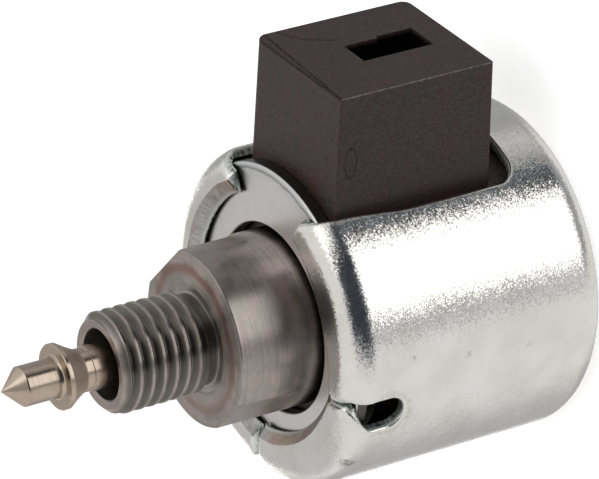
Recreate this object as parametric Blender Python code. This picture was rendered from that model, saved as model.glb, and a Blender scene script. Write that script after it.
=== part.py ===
"""Fuel shutoff solenoid: a plunger valve that screws into a carburettor bowl.

The part stands on the closed back of its steel can. +Z runs out along the plunger and the
thread, +X points to the connector block, and the origin is on the can's back face.
The stack of pieces inside is worked out from the back to the front, one on top of the other.
"""
import math

import bmesh
import bpy
from mathutils import Matrix, Vector

# Driving dimensions, in metres.
CLEARANCE = 0.0003

CAN_WALL = 0.0010
CAN_BACK_FILLET = 0.0028
CAN_FOLD_RADIUS = 0.0027
CAN_INNER_FOLD_RADIUS = 0.0011

# The rim is split into four tabs that are rolled over the front plate and swaged down.
SLOT_ANGLES = (100.3, 180.0, 259.7)
SLOT_WIDTHS = (0.0034, 0.0046, 0.0034)
SLOT_DEPTH = 0.0058
SLOT_PINCH = 0.0004
TAB_REACHES = (0.0042, 0.0038, 0.0036, 0.0033)
TAB_CORNER_SET_BACK = 0.0010
SWAGE_WIDTH = 0.0012

WINDOW_SIDE_GAP = 0.00132
WINDOW_REAR_GAP = 0.00235
WINDOW_CORNER_RADIUS = 0.0020

CORE_FLANGE_WIDTH = 0.0028
CORE_FLANGE_THICKNESS = 0.0013
CORE_GROOVE_DEPTH = 0.0011
CORE_GROOVE_HEIGHT = 0.0028
CORE_RING_SECTION = 0.0004

ARMATURE_RADIUS = 0.0047
ARMATURE_LENGTH = 0.0152
ARMATURE_GROOVE_WIDTH = 0.0012
ARMATURE_GROOVE_DEPTH = 0.0007
STROKE = 0.0028
BUMPER_THICKNESS = 0.0005

ARMATURE_WALL = 0.0018
ARMATURE_WEB = 0.0015
SPRING_POCKET_IN_ARMATURE = 0.0074
SPRING_POCKET_IN_CORE = 0.0020
SPRING_SIDE_GAP = 0.00045
SPRING_WIRE_RADIUS = 0.00025
SPRING_TURNS = 8.5
SPRING_END_PITCH = 0.00065
SPRING_POINTS_PER_TURN = 12

SLEEVE_WALL = 0.0004
BOBBIN_WALL = 0.0008
BOBBIN_FLANGE = 0.0012
BOBBIN_FLANGE_LIP = 0.00085
COIL_LENGTH = 0.0173
COIL_DEPTH = 0.0048
TAPE_THICKNESS = 0.00025

NOSE_FLANGE = 0.00195
NOSE_FLANGE_STEP = 0.0023
NOSE_RADIUS = 0.0085
NOSE_BODY_LENGTH = 0.0100
NOSE_POCKET_DEPTH = 0.0065
NOSE_EDGE_CHAMFER = 0.0003
FLAT_ANGLE = 49.0
FLAT_DEPTHS = (0.0010, 0.0004)
FLAT_STEP = 0.0016
NOSE_RING_INSET = 0.00145
NOSE_RING_SECTION = 0.00035

THREAD_RADIUS = 0.0049
THREAD_LENGTH = 0.01005
THREAD_CHAMFER = 0.0007
THREAD_RELIEF_WIDTH = 0.0007
THREAD_RELIEF_DEPTH = 0.0006
SHOULDER_UNDERCUT_WIDTH = 0.0003
SHOULDER_UNDERCUT_DEPTH = 0.00015
THREAD_WALL = 0.0015
BORE_CHAMFER = 0.0002

PLATE_THICKNESS = 0.0013
PLATE_HOLE_GAP = 0.00067

NEEDLE_REACH = 0.01025
NEEDLE_TIP_RADIUS = 0.00191
NEEDLE_CONE_LENGTH = 0.0020
NEEDLE_SHAFT_RADIUS = 0.00215
NEEDLE_TAIL_RADIUS = 0.0016
COLLAR_SET_BACK = 0.00563
COLLAR_RADIUS = 0.00314
COLLAR_LAND = 0.00085
COLLAR_FLARE_LENGTH = 0.0018
COLLAR_NECK_LENGTH = 0.0008
COLLAR_FILLET = 0.00035

BLOCK_RISE = 0.00932
BLOCK_LENGTH = 0.0165
BLOCK_HALF_WIDTH = 0.00733
BLOCK_DRAFT = 0.0002
BLOCK_SOFT_EDGE = 0.0009
BLOCK_TOP_CHAMFER = 0.00045
BLOCK_FINE_EDGE = 0.00018
FOOT_THICKNESS = 0.0015
FOOT_SIDE_GAP = 0.00045
FOOT_LAP_ANGLE = 8.0
FOOT_REAR_GAP = 0.0002

SOCKET_SET_BACK = 0.0099
SOCKET_CENTRE_OFFSET = 0.0001
SOCKET_LENGTH = 0.0076
SOCKET_WIDTH = 0.0035
SOCKET_STEP = 0.0003
SOCKET_FLOOR_RISE = 0.0004
TERMINAL_SHEET = 0.00035
TERMINAL_SIDE_GAP = 0.00045
TERMINAL_SET_BACK = 0.00207
TERMINAL_ROLL = 0.0024

LEAD_RADIUS = 0.00025
LEAD_HOLE_RADIUS = 0.0006
GROUND_ANGLE = 210.0
GROUND_TAB_WIDTH = 0.0030
GROUND_TAB_SHEET = 0.0003
GROUND_NOTCH_WIDTH = 0.0014
GROUND_LEAD_LENGTH = 0.0050

WASHER_INNER_GAP = 0.0006
WASHER_WIDTH = 0.0040
WASHER_THICKNESS = 0.0004
WASHER_WAVES = 3

CAN_STEPS = 96
ROUND_STEPS = 64
HIDDEN_STEPS = 40
SMALL_STEPS = 32
RING_STEPS = 24
SMOOTH_ANGLE = math.radians(35.0)
MERGE = 1.0e-6

# Heights up the stack, each one resting on the one before.
CORE_BOTTOM = CAN_WALL + CLEARANCE
CORE_FLANGE_TOP = CORE_BOTTOM + CORE_FLANGE_THICKNESS
BOBBIN_BOTTOM = CORE_FLANGE_TOP + CLEARANCE
COIL_BOTTOM = BOBBIN_BOTTOM + BOBBIN_FLANGE + CLEARANCE
COIL_TOP = COIL_BOTTOM + COIL_LENGTH
BOBBIN_TOP = COIL_TOP + CLEARANCE + BOBBIN_FLANGE
NOSE_BOTTOM = BOBBIN_TOP + CLEARANCE
NOSE_FLANGE_TOP = NOSE_BOTTOM + NOSE_FLANGE
PLATE_BOTTOM = NOSE_FLANGE_TOP + CLEARANCE
PLATE_TOP = PLATE_BOTTOM + PLATE_THICKNESS
TAB_BOTTOM = PLATE_TOP + CLEARANCE
CAN_TOP = TAB_BOTTOM + CAN_WALL
SHOULDER = NOSE_FLANGE_TOP + NOSE_BODY_LENGTH
THREAD_END = SHOULDER + THREAD_LENGTH
NEEDLE_TIP = THREAD_END + NEEDLE_REACH

# Radii from the axis outwards, each piece round the one inside it.
SPRING_POCKET_RADIUS = ARMATURE_RADIUS - ARMATURE_WALL
SPRING_MEAN_RADIUS = SPRING_POCKET_RADIUS - SPRING_SIDE_GAP - SPRING_WIRE_RADIUS
CORE_FLANGE_RADIUS = ARMATURE_RADIUS + CORE_FLANGE_WIDTH
SLEEVE_INSIDE = ARMATURE_RADIUS + CLEARANCE
SLEEVE_OUTSIDE = SLEEVE_INSIDE + SLEEVE_WALL
SLEEVE_SEAT = SLEEVE_OUTSIDE + CLEARANCE
BOBBIN_TUBE = SLEEVE_SEAT + BOBBIN_WALL
COIL_INSIDE = BOBBIN_TUBE + CLEARANCE
COIL_RADIUS = COIL_INSIDE + COIL_DEPTH
TAPE_INSIDE = COIL_RADIUS + CLEARANCE
TAPE_OUTSIDE = TAPE_INSIDE + TAPE_THICKNESS
BOBBIN_FLANGE_RADIUS = TAPE_OUTSIDE + BOBBIN_FLANGE_LIP
FOOT_INSIDE = BOBBIN_FLANGE_RADIUS + CLEARANCE
FOOT_OUTSIDE = FOOT_INSIDE + FOOT_THICKNESS
CAN_INSIDE = FOOT_OUTSIDE + FOOT_SIDE_GAP
CAN_RADIUS = CAN_INSIDE + CAN_WALL
PLATE_RADIUS = CAN_INSIDE - CLEARANCE
PLATE_EDGE_RADIUS = CAN_INNER_FOLD_RADIUS - CLEARANCE
PLATE_HOLE = NOSE_RADIUS + PLATE_HOLE_GAP
NOSE_FLANGE_RADIUS = NOSE_RADIUS + NOSE_FLANGE_STEP
NOSE_RING_RADIUS = NOSE_FLANGE_RADIUS - NOSE_RING_INSET
BORE_RADIUS = THREAD_RADIUS - THREAD_WALL

# Heights of the moving pieces and of what stops them.
NOSE_STOP = NOSE_BOTTOM + NOSE_POCKET_DEPTH
ARMATURE_TOP = NOSE_STOP - CLEARANCE
ARMATURE_BOTTOM = ARMATURE_TOP - ARMATURE_LENGTH
BUMPER_TOP = ARMATURE_BOTTOM - STROKE - CLEARANCE
BUMPER_BOTTOM = BUMPER_TOP - BUMPER_THICKNESS
CORE_TOP = BUMPER_BOTTOM - CLEARANCE
SLEEVE_TOP = ARMATURE_TOP - 2.0 * CLEARANCE
SPRING_CEILING = ARMATURE_BOTTOM + SPRING_POCKET_IN_ARMATURE
SPRING_FLOOR = CORE_TOP - SPRING_POCKET_IN_CORE
TAIL_HOLE_BOTTOM = SPRING_CEILING + ARMATURE_WEB
TAIL_BOTTOM = TAIL_HOLE_BOTTOM + CLEARANCE

# The connector block, its socket and the window that it comes out of.
BLOCK_TOP = CAN_RADIUS + BLOCK_RISE
BLOCK_FRONT = PLATE_BOTTOM - CLEARANCE
BLOCK_REAR = BLOCK_FRONT - 2.0 * BLOCK_DRAFT - BLOCK_LENGTH
SOCKET_FLOOR = FOOT_OUTSIDE + SOCKET_FLOOR_RISE
SOCKET_CENTRE_HEIGHT = BLOCK_FRONT - BLOCK_DRAFT - SOCKET_SET_BACK
SOCKET_SIDE = SOCKET_WIDTH / 2.0
WINDOW_REAR = BLOCK_REAR - WINDOW_REAR_GAP
WINDOW_HALF_WIDTH = BLOCK_HALF_WIDTH + BLOCK_DRAFT + WINDOW_SIDE_GAP
WINDOW_HALF_ANGLE = math.asin(WINDOW_HALF_WIDTH / CAN_RADIUS)
FOOT_HALF_ANGLE = math.degrees(WINDOW_HALF_ANGLE) + FOOT_LAP_ANGLE
FOOT_REAR = COIL_BOTTOM + FOOT_REAR_GAP

# The tabs lie between the window and the slots, and TAB_HALF_WIDTH is measured round the can.
SLOT_HALF_ANGLES = [math.degrees(width / CAN_RADIUS) / 2.0 for width in SLOT_WIDTHS]
TAB_EDGES = [math.degrees(WINDOW_HALF_ANGLE)]
for slot_angle, slot_half_angle in zip(SLOT_ANGLES, SLOT_HALF_ANGLES):
    TAB_EDGES += [slot_angle - slot_half_angle, slot_angle + slot_half_angle]
TAB_EDGES.append(360.0 - math.degrees(WINDOW_HALF_ANGLE))
TAB_CENTRES = [(TAB_EDGES[index] + TAB_EDGES[index + 1]) / 2.0 for index in range(0, len(TAB_EDGES), 2)]
TAB_HALF_WIDTH = CAN_RADIUS * math.radians(TAB_EDGES[1] - TAB_EDGES[0]) / 2.0


def clear_scene():
    """Remove whatever the file holds."""
    for thing in list(bpy.data.objects):
        bpy.data.objects.remove(thing, do_unlink=True)


def material(name, colour, metallic, roughness):
    """A plain finish: base colour, metallic value and roughness."""
    finish = bpy.data.materials.new(name)
    finish.use_nodes = True
    shader = finish.node_tree.nodes["Principled BSDF"]
    shader.inputs["Base Color"].default_value = (*colour, 1.0)
    shader.inputs["Metallic"].default_value = metallic
    shader.inputs["Roughness"].default_value = roughness
    return finish


def finish_object(name, bm, look):
    """Turn the mesh into a named, smooth-shaded object with its material."""
    bmesh.ops.remove_doubles(bm, verts=bm.verts, dist=MERGE)
    bmesh.ops.recalc_face_normals(bm, faces=bm.faces)
    mesh = bpy.data.meshes.new(name)
    bm.to_mesh(mesh)
    bm.free()
    mesh.shade_smooth()
    mesh.set_sharp_from_angle(angle=SMOOTH_ANGLE)
    mesh.materials.append(look)
    piece = bpy.data.objects.new(name, mesh)
    bpy.context.scene.collection.objects.link(piece)
    return piece


def arc(centre_radius, centre_height, radius, start, end, segments):
    """Points along an arc of the profile, from start to end in degrees."""
    points = []
    for index in range(segments + 1):
        angle = math.radians(start + (end - start) * index / segments)
        points.append((centre_radius + radius * math.cos(angle), centre_height + radius * math.sin(angle)))
    return points


def turned(profile, steps):
    """Spin a profile of (radius, height) points about the part's axis."""
    bm = bmesh.new()
    verts = [bm.verts.new((radius, 0.0, height)) for radius, height in profile]
    edges = [bm.edges.new(pair) for pair in zip(verts, verts[1:])]
    reaches_axis = profile[0][0] < MERGE and profile[-1][0] < MERGE
    if not reaches_axis:
        edges.append(bm.edges.new((verts[-1], verts[0])))
    bmesh.ops.spin(bm, geom=verts + edges, axis=(0.0, 0.0, 1.0), cent=(0.0, 0.0, 0.0),
                   angle=math.tau, steps=steps, use_merge=True)
    bmesh.ops.remove_doubles(bm, verts=bm.verts, dist=MERGE)
    return bm


def prism(outline, frame, low, high):
    """Extrude an outline from low to high along the third direction of its frame."""
    bm = bmesh.new()
    face = bm.faces.new([bm.verts.new(frame @ Vector((across, along, low))) for across, along in outline])
    grown = bmesh.ops.extrude_face_region(bm, geom=[face])
    far_side = [item for item in grown["geom"] if isinstance(item, bmesh.types.BMVert)]
    shift = frame.to_3x3() @ Vector((0.0, 0.0, high - low))
    bmesh.ops.translate(bm, vec=shift, verts=far_side)
    return bm


def radial_frame(angle):
    """Outline axes: tangential and up; extrusion runs outwards at this angle from +X to -Y."""
    turn = Matrix.Rotation(-math.radians(angle), 4, "Z")
    axes = Matrix(((0.0, 0.0, 1.0, 0.0), (1.0, 0.0, 0.0, 0.0), (0.0, 1.0, 0.0, 0.0), (0.0, 0.0, 0.0, 1.0)))
    return turn @ axes


def plan_frame(angle):
    """Outline axes: outwards and tangential; extrusion runs up the part's axis."""
    return Matrix.Rotation(-math.radians(angle), 4, "Z")


def meridian_frame(angle):
    """Outline axes: outwards and up; extrusion runs sideways."""
    turn = Matrix.Rotation(-math.radians(angle), 4, "Z")
    axes = Matrix(((1.0, 0.0, 0.0, 0.0), (0.0, 0.0, 1.0, 0.0), (0.0, 1.0, 0.0, 0.0), (0.0, 0.0, 0.0, 1.0)))
    return turn @ axes


def rectangle(low_x, high_x, low_y, high_y):
    return [(low_x, low_y), (high_x, low_y), (high_x, high_y), (low_x, high_y)]


def cutter(name, bm):
    """A shape that only shapes another: it never shows by itself."""
    tool = finish_object(name, bm, CUTTER_LOOK)
    tool.hide_render = True
    tool.display_type = "WIRE"
    return tool


def combine(piece, tool, operation="DIFFERENCE"):
    change = piece.modifiers.new(tool.name, "BOOLEAN")
    change.operation = operation
    change.solver = "EXACT"
    change.object = tool


def tab_reach(angle):
    """How far a tab's lip comes in at this angle: furthest at its middle, less at its corners."""
    nearest = min(range(len(TAB_CENTRES)), key=lambda index: abs(angle - TAB_CENTRES[index]))
    half_span = math.degrees(TAB_HALF_WIDTH / CAN_RADIUS)
    share = min(abs(angle - TAB_CENTRES[nearest]) / half_span, 1.0)
    reach = TAB_REACHES[nearest] - TAB_CORNER_SET_BACK * share * share
    return max(reach, CAN_FOLD_RADIUS + CLEARANCE / 2.0)


def can_profile():
    """Outline of the drawn cup, from the outside of the back, up, over the fold and back down inside."""
    fold_centre = CAN_RADIUS - CAN_FOLD_RADIUS
    fold_height = CAN_TOP - CAN_FOLD_RADIUS
    inner_fold = CAN_INNER_FOLD_RADIUS
    inner_fillet = max(CAN_BACK_FILLET - CAN_WALL, CLEARANCE)
    lip = fold_centre - CLEARANCE / 2.0
    outline = [(0.0, 0.0)]
    outline += arc(CAN_RADIUS - CAN_BACK_FILLET, CAN_BACK_FILLET, CAN_BACK_FILLET, -90.0, 0.0, 5)
    outline += arc(fold_centre, fold_height, CAN_FOLD_RADIUS, 0.0, 90.0, 6)
    outline.append((lip, CAN_TOP))
    outline.append((lip - SWAGE_WIDTH, TAB_BOTTOM))
    outline += arc(CAN_INSIDE - inner_fold, TAB_BOTTOM - inner_fold, inner_fold, 90.0, 0.0, 3)
    outline += arc(CAN_INSIDE - inner_fillet, CAN_WALL + inner_fillet, inner_fillet, 0.0, -90.0, 2)
    outline.append((0.0, CAN_WALL))
    return outline


def shape_lips(bm):
    """Bring the two edges of the swaged lip in to each tab's own reach."""
    lip = CAN_RADIUS - CAN_FOLD_RADIUS - CLEARANCE / 2.0
    for vert in bm.verts:
        radius = math.hypot(vert.co.x, vert.co.y)
        if vert.co.z < TAB_BOTTOM - MERGE or radius > lip + MERGE:
            continue
        angle = math.degrees(math.atan2(-vert.co.y, vert.co.x)) % 360.0
        at_top = vert.co.z > TAB_BOTTOM + MERGE
        wanted = CAN_RADIUS - tab_reach(angle) - (0.0 if at_top else SWAGE_WIDTH)
        vert.co.x *= wanted / radius
        vert.co.y *= wanted / radius


def slot_half_gap(radius, half_width):
    """A tab keeps its width as it is rolled inwards, so the slots close towards the axis."""
    share = radius / CAN_RADIUS
    return max(share * (half_width + TAB_HALF_WIDTH) - TAB_HALF_WIDTH, SLOT_PINCH / 2.0)


def slot_cutters(index):
    """One slot: a round-ended slot in the wall and a narrowing slit across the fold."""
    angle = SLOT_ANGLES[index]
    half_width = SLOT_WIDTHS[index] / 2.0
    fold_height = CAN_TOP - CAN_FOLD_RADIUS
    bottom = CAN_TOP - SLOT_DEPTH
    stadium = arc(0.0, bottom + half_width, half_width, 180.0, 360.0, 10)
    stadium += [(half_width, fold_height + CLEARANCE), (-half_width, fold_height + CLEARANCE)]
    wall_cut = prism(stadium, radial_frame(angle), CAN_INSIDE - CAN_WALL, CAN_RADIUS + CAN_WALL)
    stations = 6
    inner = CAN_RADIUS - CAN_FOLD_RADIUS - SWAGE_WIDTH
    side = []
    for step in range(stations + 1):
        radius = CAN_RADIUS + (inner - CAN_RADIUS) * step / stations
        side.append((radius, slot_half_gap(radius, half_width)))
    throat = side[-1][1]
    side.append((inner - 2.0 * SWAGE_WIDTH, throat + SWAGE_WIDTH / 2.0))
    side.insert(0, (CAN_RADIUS + CAN_WALL, half_width))
    slit = side + [(radius, -gap) for radius, gap in reversed(side)]
    front_cut = prism(slit, plan_frame(angle), fold_height, CAN_TOP + CAN_WALL)
    return [cutter(f"cut_slot_{index + 1}", wall_cut), cutter(f"cut_slit_{index + 1}", front_cut)]


def window_cutters():
    """The opening for the connector block: round rear corners, sides that flare in over the fold."""
    fold_height = CAN_TOP - CAN_FOLD_RADIUS
    inset = WINDOW_HALF_WIDTH - WINDOW_CORNER_RADIUS
    rear = WINDOW_REAR + WINDOW_CORNER_RADIUS
    outline = arc(-inset, rear, WINDOW_CORNER_RADIUS, 180.0, 270.0, 5)
    outline += arc(inset, rear, WINDOW_CORNER_RADIUS, 270.0, 360.0, 5)
    outline += [(WINDOW_HALF_WIDTH, fold_height + CLEARANCE), (-WINDOW_HALF_WIDTH, fold_height + CLEARANCE)]
    wall_cut = prism(outline, radial_frame(0.0), CAN_RADIUS / 2.0, CAN_RADIUS + CAN_WALL)
    side = [(CAN_RADIUS + CAN_WALL, WINDOW_HALF_WIDTH)]
    for tilt in (0.0, 45.0, 90.0):
        radius = CAN_RADIUS - CAN_FOLD_RADIUS * (1.0 - math.cos(math.radians(tilt)))
        closing = TAB_HALF_WIDTH / radius - TAB_HALF_WIDTH / CAN_RADIUS
        edge = WINDOW_HALF_ANGLE - closing
        side.append((radius * math.cos(edge), radius * math.sin(edge)))
    depth = CAN_RADIUS / 2.0
    side.append((depth, side[-1][1] * depth / side[-1][0]))
    flare = side + [(across, -along) for across, along in reversed(side)]
    front_cut = prism(flare, plan_frame(0.0), fold_height, CAN_TOP + CAN_WALL)
    return [cutter("cut_window", wall_cut), cutter("cut_window_flare", front_cut)]


def make_housing_can():
    """Drawn steel cup with a rolled, slotted and swaged rim: the hardest shape on the part."""
    bm = turned(can_profile(), CAN_STEPS)
    shape_lips(bm)
    look = material("zinc_plated_can", (0.62, 0.64, 0.66), 1.0, 0.30)
    can = finish_object("housing_can", bm, look)
    tools = window_cutters()
    for index in range(len(SLOT_ANGLES)):
        tools += slot_cutters(index)
    for tool in tools:
        combine(can, tool)


def make_front_plate():
    """Flat annular pole plate that the tabs hold down."""
    profile = [(PLATE_HOLE, PLATE_BOTTOM), (PLATE_RADIUS, PLATE_BOTTOM)]
    profile += arc(PLATE_RADIUS - PLATE_EDGE_RADIUS, PLATE_TOP - PLATE_EDGE_RADIUS, PLATE_EDGE_RADIUS, 0.0, 90.0, 3)
    profile.append((PLATE_HOLE, PLATE_TOP))
    look = material("zinc_plated_plate", (0.55, 0.57, 0.60), 1.0, 0.35)
    finish_object("front_plate", turned(profile, ROUND_STEPS), look)


def nose_profile():
    """Turned nose: rear flange with a seal groove, wrench body, shoulder and thread.

    The shoulder is undercut next to the thread, so that a gasket lies flat on it.
    """
    groove_side = NOSE_RING_SECTION + CLEARANCE
    groove_top = NOSE_BOTTOM + 2.0 * NOSE_RING_SECTION + CLEARANCE
    relief = THREAD_RADIUS - THREAD_RELIEF_DEPTH
    relief_top = SHOULDER + THREAD_RELIEF_WIDTH
    undercut = THREAD_RADIUS + SHOULDER_UNDERCUT_WIDTH
    undercut_floor = SHOULDER - SHOULDER_UNDERCUT_DEPTH
    return [
        (SLEEVE_SEAT, NOSE_BOTTOM),
        (NOSE_RING_RADIUS - groove_side, NOSE_BOTTOM),
        (NOSE_RING_RADIUS - groove_side, groove_top),
        (NOSE_RING_RADIUS + groove_side, groove_top),
        (NOSE_RING_RADIUS + groove_side, NOSE_BOTTOM),
        (NOSE_FLANGE_RADIUS, NOSE_BOTTOM),
        (NOSE_FLANGE_RADIUS, NOSE_FLANGE_TOP),
        (NOSE_RADIUS, NOSE_FLANGE_TOP),
        (NOSE_RADIUS, SHOULDER - NOSE_EDGE_CHAMFER),
        (NOSE_RADIUS - NOSE_EDGE_CHAMFER, SHOULDER),
        (undercut, SHOULDER),
        (undercut, undercut_floor),
        (relief, undercut_floor),
        (relief, relief_top),
        (THREAD_RADIUS, relief_top + THREAD_RELIEF_DEPTH),
        (THREAD_RADIUS, THREAD_END - THREAD_CHAMFER),
        (THREAD_RADIUS - THREAD_CHAMFER, THREAD_END),
        (BORE_RADIUS + BORE_CHAMFER, THREAD_END),
        (BORE_RADIUS, THREAD_END - BORE_CHAMFER),
        (BORE_RADIUS, NOSE_STOP),
        (SLEEVE_INSIDE, NOSE_STOP),
        (SLEEVE_INSIDE, SLEEVE_TOP + CLEARANCE),
        (SLEEVE_SEAT, SLEEVE_TOP + CLEARANCE),
    ]


def make_nose_body():
    look = material("machined_steel", (0.33, 0.31, 0.30), 1.0, 0.42)
    nose = finish_object("nose_body", turned(nose_profile(), ROUND_STEPS), look)
    step = PLATE_TOP + FLAT_STEP
    for index, depth in enumerate(FLAT_DEPTHS):
        angle = -FLAT_ANGLE + 180.0 * index
        outline = rectangle(NOSE_RADIUS - depth, 2.0 * NOSE_RADIUS, -NOSE_RADIUS, NOSE_RADIUS)
        flat = prism(outline, plan_frame(angle), step, SHOULDER + CAN_WALL)
        combine(nose, cutter(f"cut_flat_{index + 1}", flat))


def make_front_seal():
    """Soft ring in the groove on the rear of the nose, against the bobbin."""
    height = NOSE_BOTTOM + NOSE_RING_SECTION
    profile = arc(NOSE_RING_RADIUS, height, NOSE_RING_SECTION, 0.0, 300.0, 5)
    look = material("seal_rubber", (0.03, 0.03, 0.03), 0.0, 0.60)
    finish_object("nose_o_ring", turned(profile, RING_STEPS), look)


def make_needle():
    """Valve needle: cone, tip, collar, flared neck, shaft and the tail pressed in the armature."""
    cone_base = NEEDLE_TIP - NEEDLE_CONE_LENGTH
    collar_front = NEEDLE_TIP - COLLAR_SET_BACK
    collar_rear = collar_front - COLLAR_LAND
    neck_top = collar_rear - COLLAR_FLARE_LENGTH
    neck_bottom = neck_top - COLLAR_NECK_LENGTH
    neck_radius = NEEDLE_SHAFT_RADIUS - CLEARANCE / 4.0
    flare = []
    for index in range(1, 5):
        share = index / 5.0
        radius = neck_radius + (COLLAR_RADIUS - neck_radius) * share ** 1.6
        flare.append((radius, neck_top + COLLAR_FLARE_LENGTH * share))
    shaft_end = ARMATURE_TOP + CLEARANCE
    profile = [
        (0.0, TAIL_BOTTOM),
        (NEEDLE_TAIL_RADIUS, TAIL_BOTTOM),
        (NEEDLE_TAIL_RADIUS, shaft_end),
        (NEEDLE_SHAFT_RADIUS, shaft_end),
        (NEEDLE_SHAFT_RADIUS, neck_bottom),
        (neck_radius, neck_bottom),
        (neck_radius, neck_top),
        *flare,
        (COLLAR_RADIUS, collar_rear),
        (COLLAR_RADIUS, collar_front),
    ]
    profile += arc(NEEDLE_TIP_RADIUS + COLLAR_FILLET, collar_front + COLLAR_FILLET, COLLAR_FILLET, 270.0, 180.0, 3)
    profile += [(NEEDLE_TIP_RADIUS, cone_base), (0.0, NEEDLE_TIP)]
    look = material("stainless_needle", (0.50, 0.43, 0.37), 1.0, 0.28)
    needle = finish_object("needle_plunger", turned(profile, SMALL_STEPS), look)
    needle.parent = PLUNGER_AXIS


def make_armature():
    """Soft iron plunger with a spring pocket, a blind hole for the needle and two air grooves."""
    hole = NEEDLE_TAIL_RADIUS + CLEARANCE
    edge = CLEARANCE
    profile = [
        (0.0, SPRING_CEILING),
        (SPRING_POCKET_RADIUS, SPRING_CEILING),
        (SPRING_POCKET_RADIUS, ARMATURE_BOTTOM),
        (ARMATURE_RADIUS - edge, ARMATURE_BOTTOM),
        (ARMATURE_RADIUS, ARMATURE_BOTTOM + edge),
        (ARMATURE_RADIUS, ARMATURE_TOP - edge),
        (ARMATURE_RADIUS - edge, ARMATURE_TOP),
        (hole, ARMATURE_TOP),
        (hole, TAIL_HOLE_BOTTOM),
        (0.0, TAIL_HOLE_BOTTOM),
    ]
    look = material("soft_iron_armature", (0.45, 0.45, 0.46), 1.0, 0.35)
    armature = finish_object("armature", turned(profile, SMALL_STEPS), look)
    armature.parent = PLUNGER_AXIS
    for index in range(2):
        outline = rectangle(ARMATURE_RADIUS - ARMATURE_GROOVE_DEPTH, 2.0 * ARMATURE_RADIUS,
                            -ARMATURE_GROOVE_WIDTH / 2.0, ARMATURE_GROOVE_WIDTH / 2.0)
        groove = prism(outline, plan_frame(90.0 + 180.0 * index), ARMATURE_BOTTOM - CAN_WALL, ARMATURE_TOP + CAN_WALL)
        combine(armature, cutter(f"cut_air_groove_{index + 1}", groove))


def make_fixed_core():
    """Core on the back of the can: a foot under the bobbin, a seal groove and a spring pocket."""
    groove = ARMATURE_RADIUS - CORE_GROOVE_DEPTH
    groove_bottom = CORE_FLANGE_TOP + CORE_GROOVE_HEIGHT
    groove_top = groove_bottom + 2.0 * (CORE_RING_SECTION + CLEARANCE)
    profile = [
        (0.0, CORE_BOTTOM),
        (CORE_FLANGE_RADIUS, CORE_BOTTOM),
        (CORE_FLANGE_RADIUS, CORE_FLANGE_TOP),
        (ARMATURE_RADIUS, CORE_FLANGE_TOP),
        (ARMATURE_RADIUS, groove_bottom),
        (groove, groove_bottom),
        (groove, groove_top),
        (ARMATURE_RADIUS, groove_top),
        (ARMATURE_RADIUS, CORE_TOP),
        (SPRING_POCKET_RADIUS, CORE_TOP),
        (SPRING_POCKET_RADIUS, SPRING_FLOOR),
        (0.0, SPRING_FLOOR),
    ]
    look = material("soft_iron_core", (0.42, 0.42, 0.43), 1.0, 0.38)
    finish_object("fixed_core", turned(profile, SMALL_STEPS), look)
    ring_height = (groove_bottom + groove_top) / 2.0
    ring_radius = groove + CLEARANCE + CORE_RING_SECTION
    ring = arc(ring_radius, ring_height, CORE_RING_SECTION, 0.0, 300.0, 5)
    seal = material("core_seal_rubber", (0.03, 0.03, 0.03), 0.0, 0.60)
    finish_object("core_o_ring", turned(ring, RING_STEPS), seal)


def make_core_bumper():
    """Thin brass shim that keeps the armature from sticking to the core."""
    profile = rectangle(SPRING_POCKET_RADIUS, ARMATURE_RADIUS, BUMPER_BOTTOM, BUMPER_TOP)
    look = material("brass_shim", (0.62, 0.48, 0.22), 1.0, 0.35)
    finish_object("core_bumper", turned(profile, SMALL_STEPS), look)


def make_guide_sleeve():
    profile = rectangle(SLEEVE_INSIDE, SLEEVE_OUTSIDE, CORE_FLANGE_TOP + CLEARANCE, SLEEVE_TOP)
    look = material("brass_sleeve", (0.66, 0.50, 0.22), 1.0, 0.30)
    finish_object("guide_sleeve", turned(profile, SMALL_STEPS), look)


def tube_along(name, points, radius, look):
    """A round wire along a list of points, with closed ends."""
    curve = bpy.data.curves.new(name, "CURVE")
    curve.dimensions = "3D"
    curve.bevel_depth = radius
    curve.bevel_resolution = 1
    curve.use_fill_caps = True
    spline = curve.splines.new("POLY")
    spline.points.add(len(points) - 1)
    for target, point in zip(spline.points, points):
        target.co = (*point, 1.0)
    curve.materials.append(look)
    wire = bpy.data.objects.new(name, curve)
    bpy.context.scene.collection.objects.link(wire)
    return wire


def make_return_spring():
    """Compression spring with a closed coil at each end, from the core's pocket to the armature's."""
    low = SPRING_FLOOR + CLEARANCE + SPRING_WIRE_RADIUS
    high = SPRING_CEILING - CLEARANCE - SPRING_WIRE_RADIUS
    open_turns = SPRING_TURNS - 2.0
    open_pitch = (high - low - 2.0 * SPRING_END_PITCH) / open_turns
    points = []
    for index in range(int(SPRING_TURNS * SPRING_POINTS_PER_TURN) + 1):
        turn = index / SPRING_POINTS_PER_TURN
        middle = min(max(turn - 1.0, 0.0), open_turns)
        height = low + open_pitch * middle + SPRING_END_PITCH * (turn - middle)
        angle = math.tau * turn
        points.append((SPRING_MEAN_RADIUS * math.cos(angle), SPRING_MEAN_RADIUS * math.sin(angle), height))
    look = material("spring_steel", (0.40, 0.40, 0.42), 1.0, 0.30)
    tube_along("return_spring", points, SPRING_WIRE_RADIUS, look)


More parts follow.
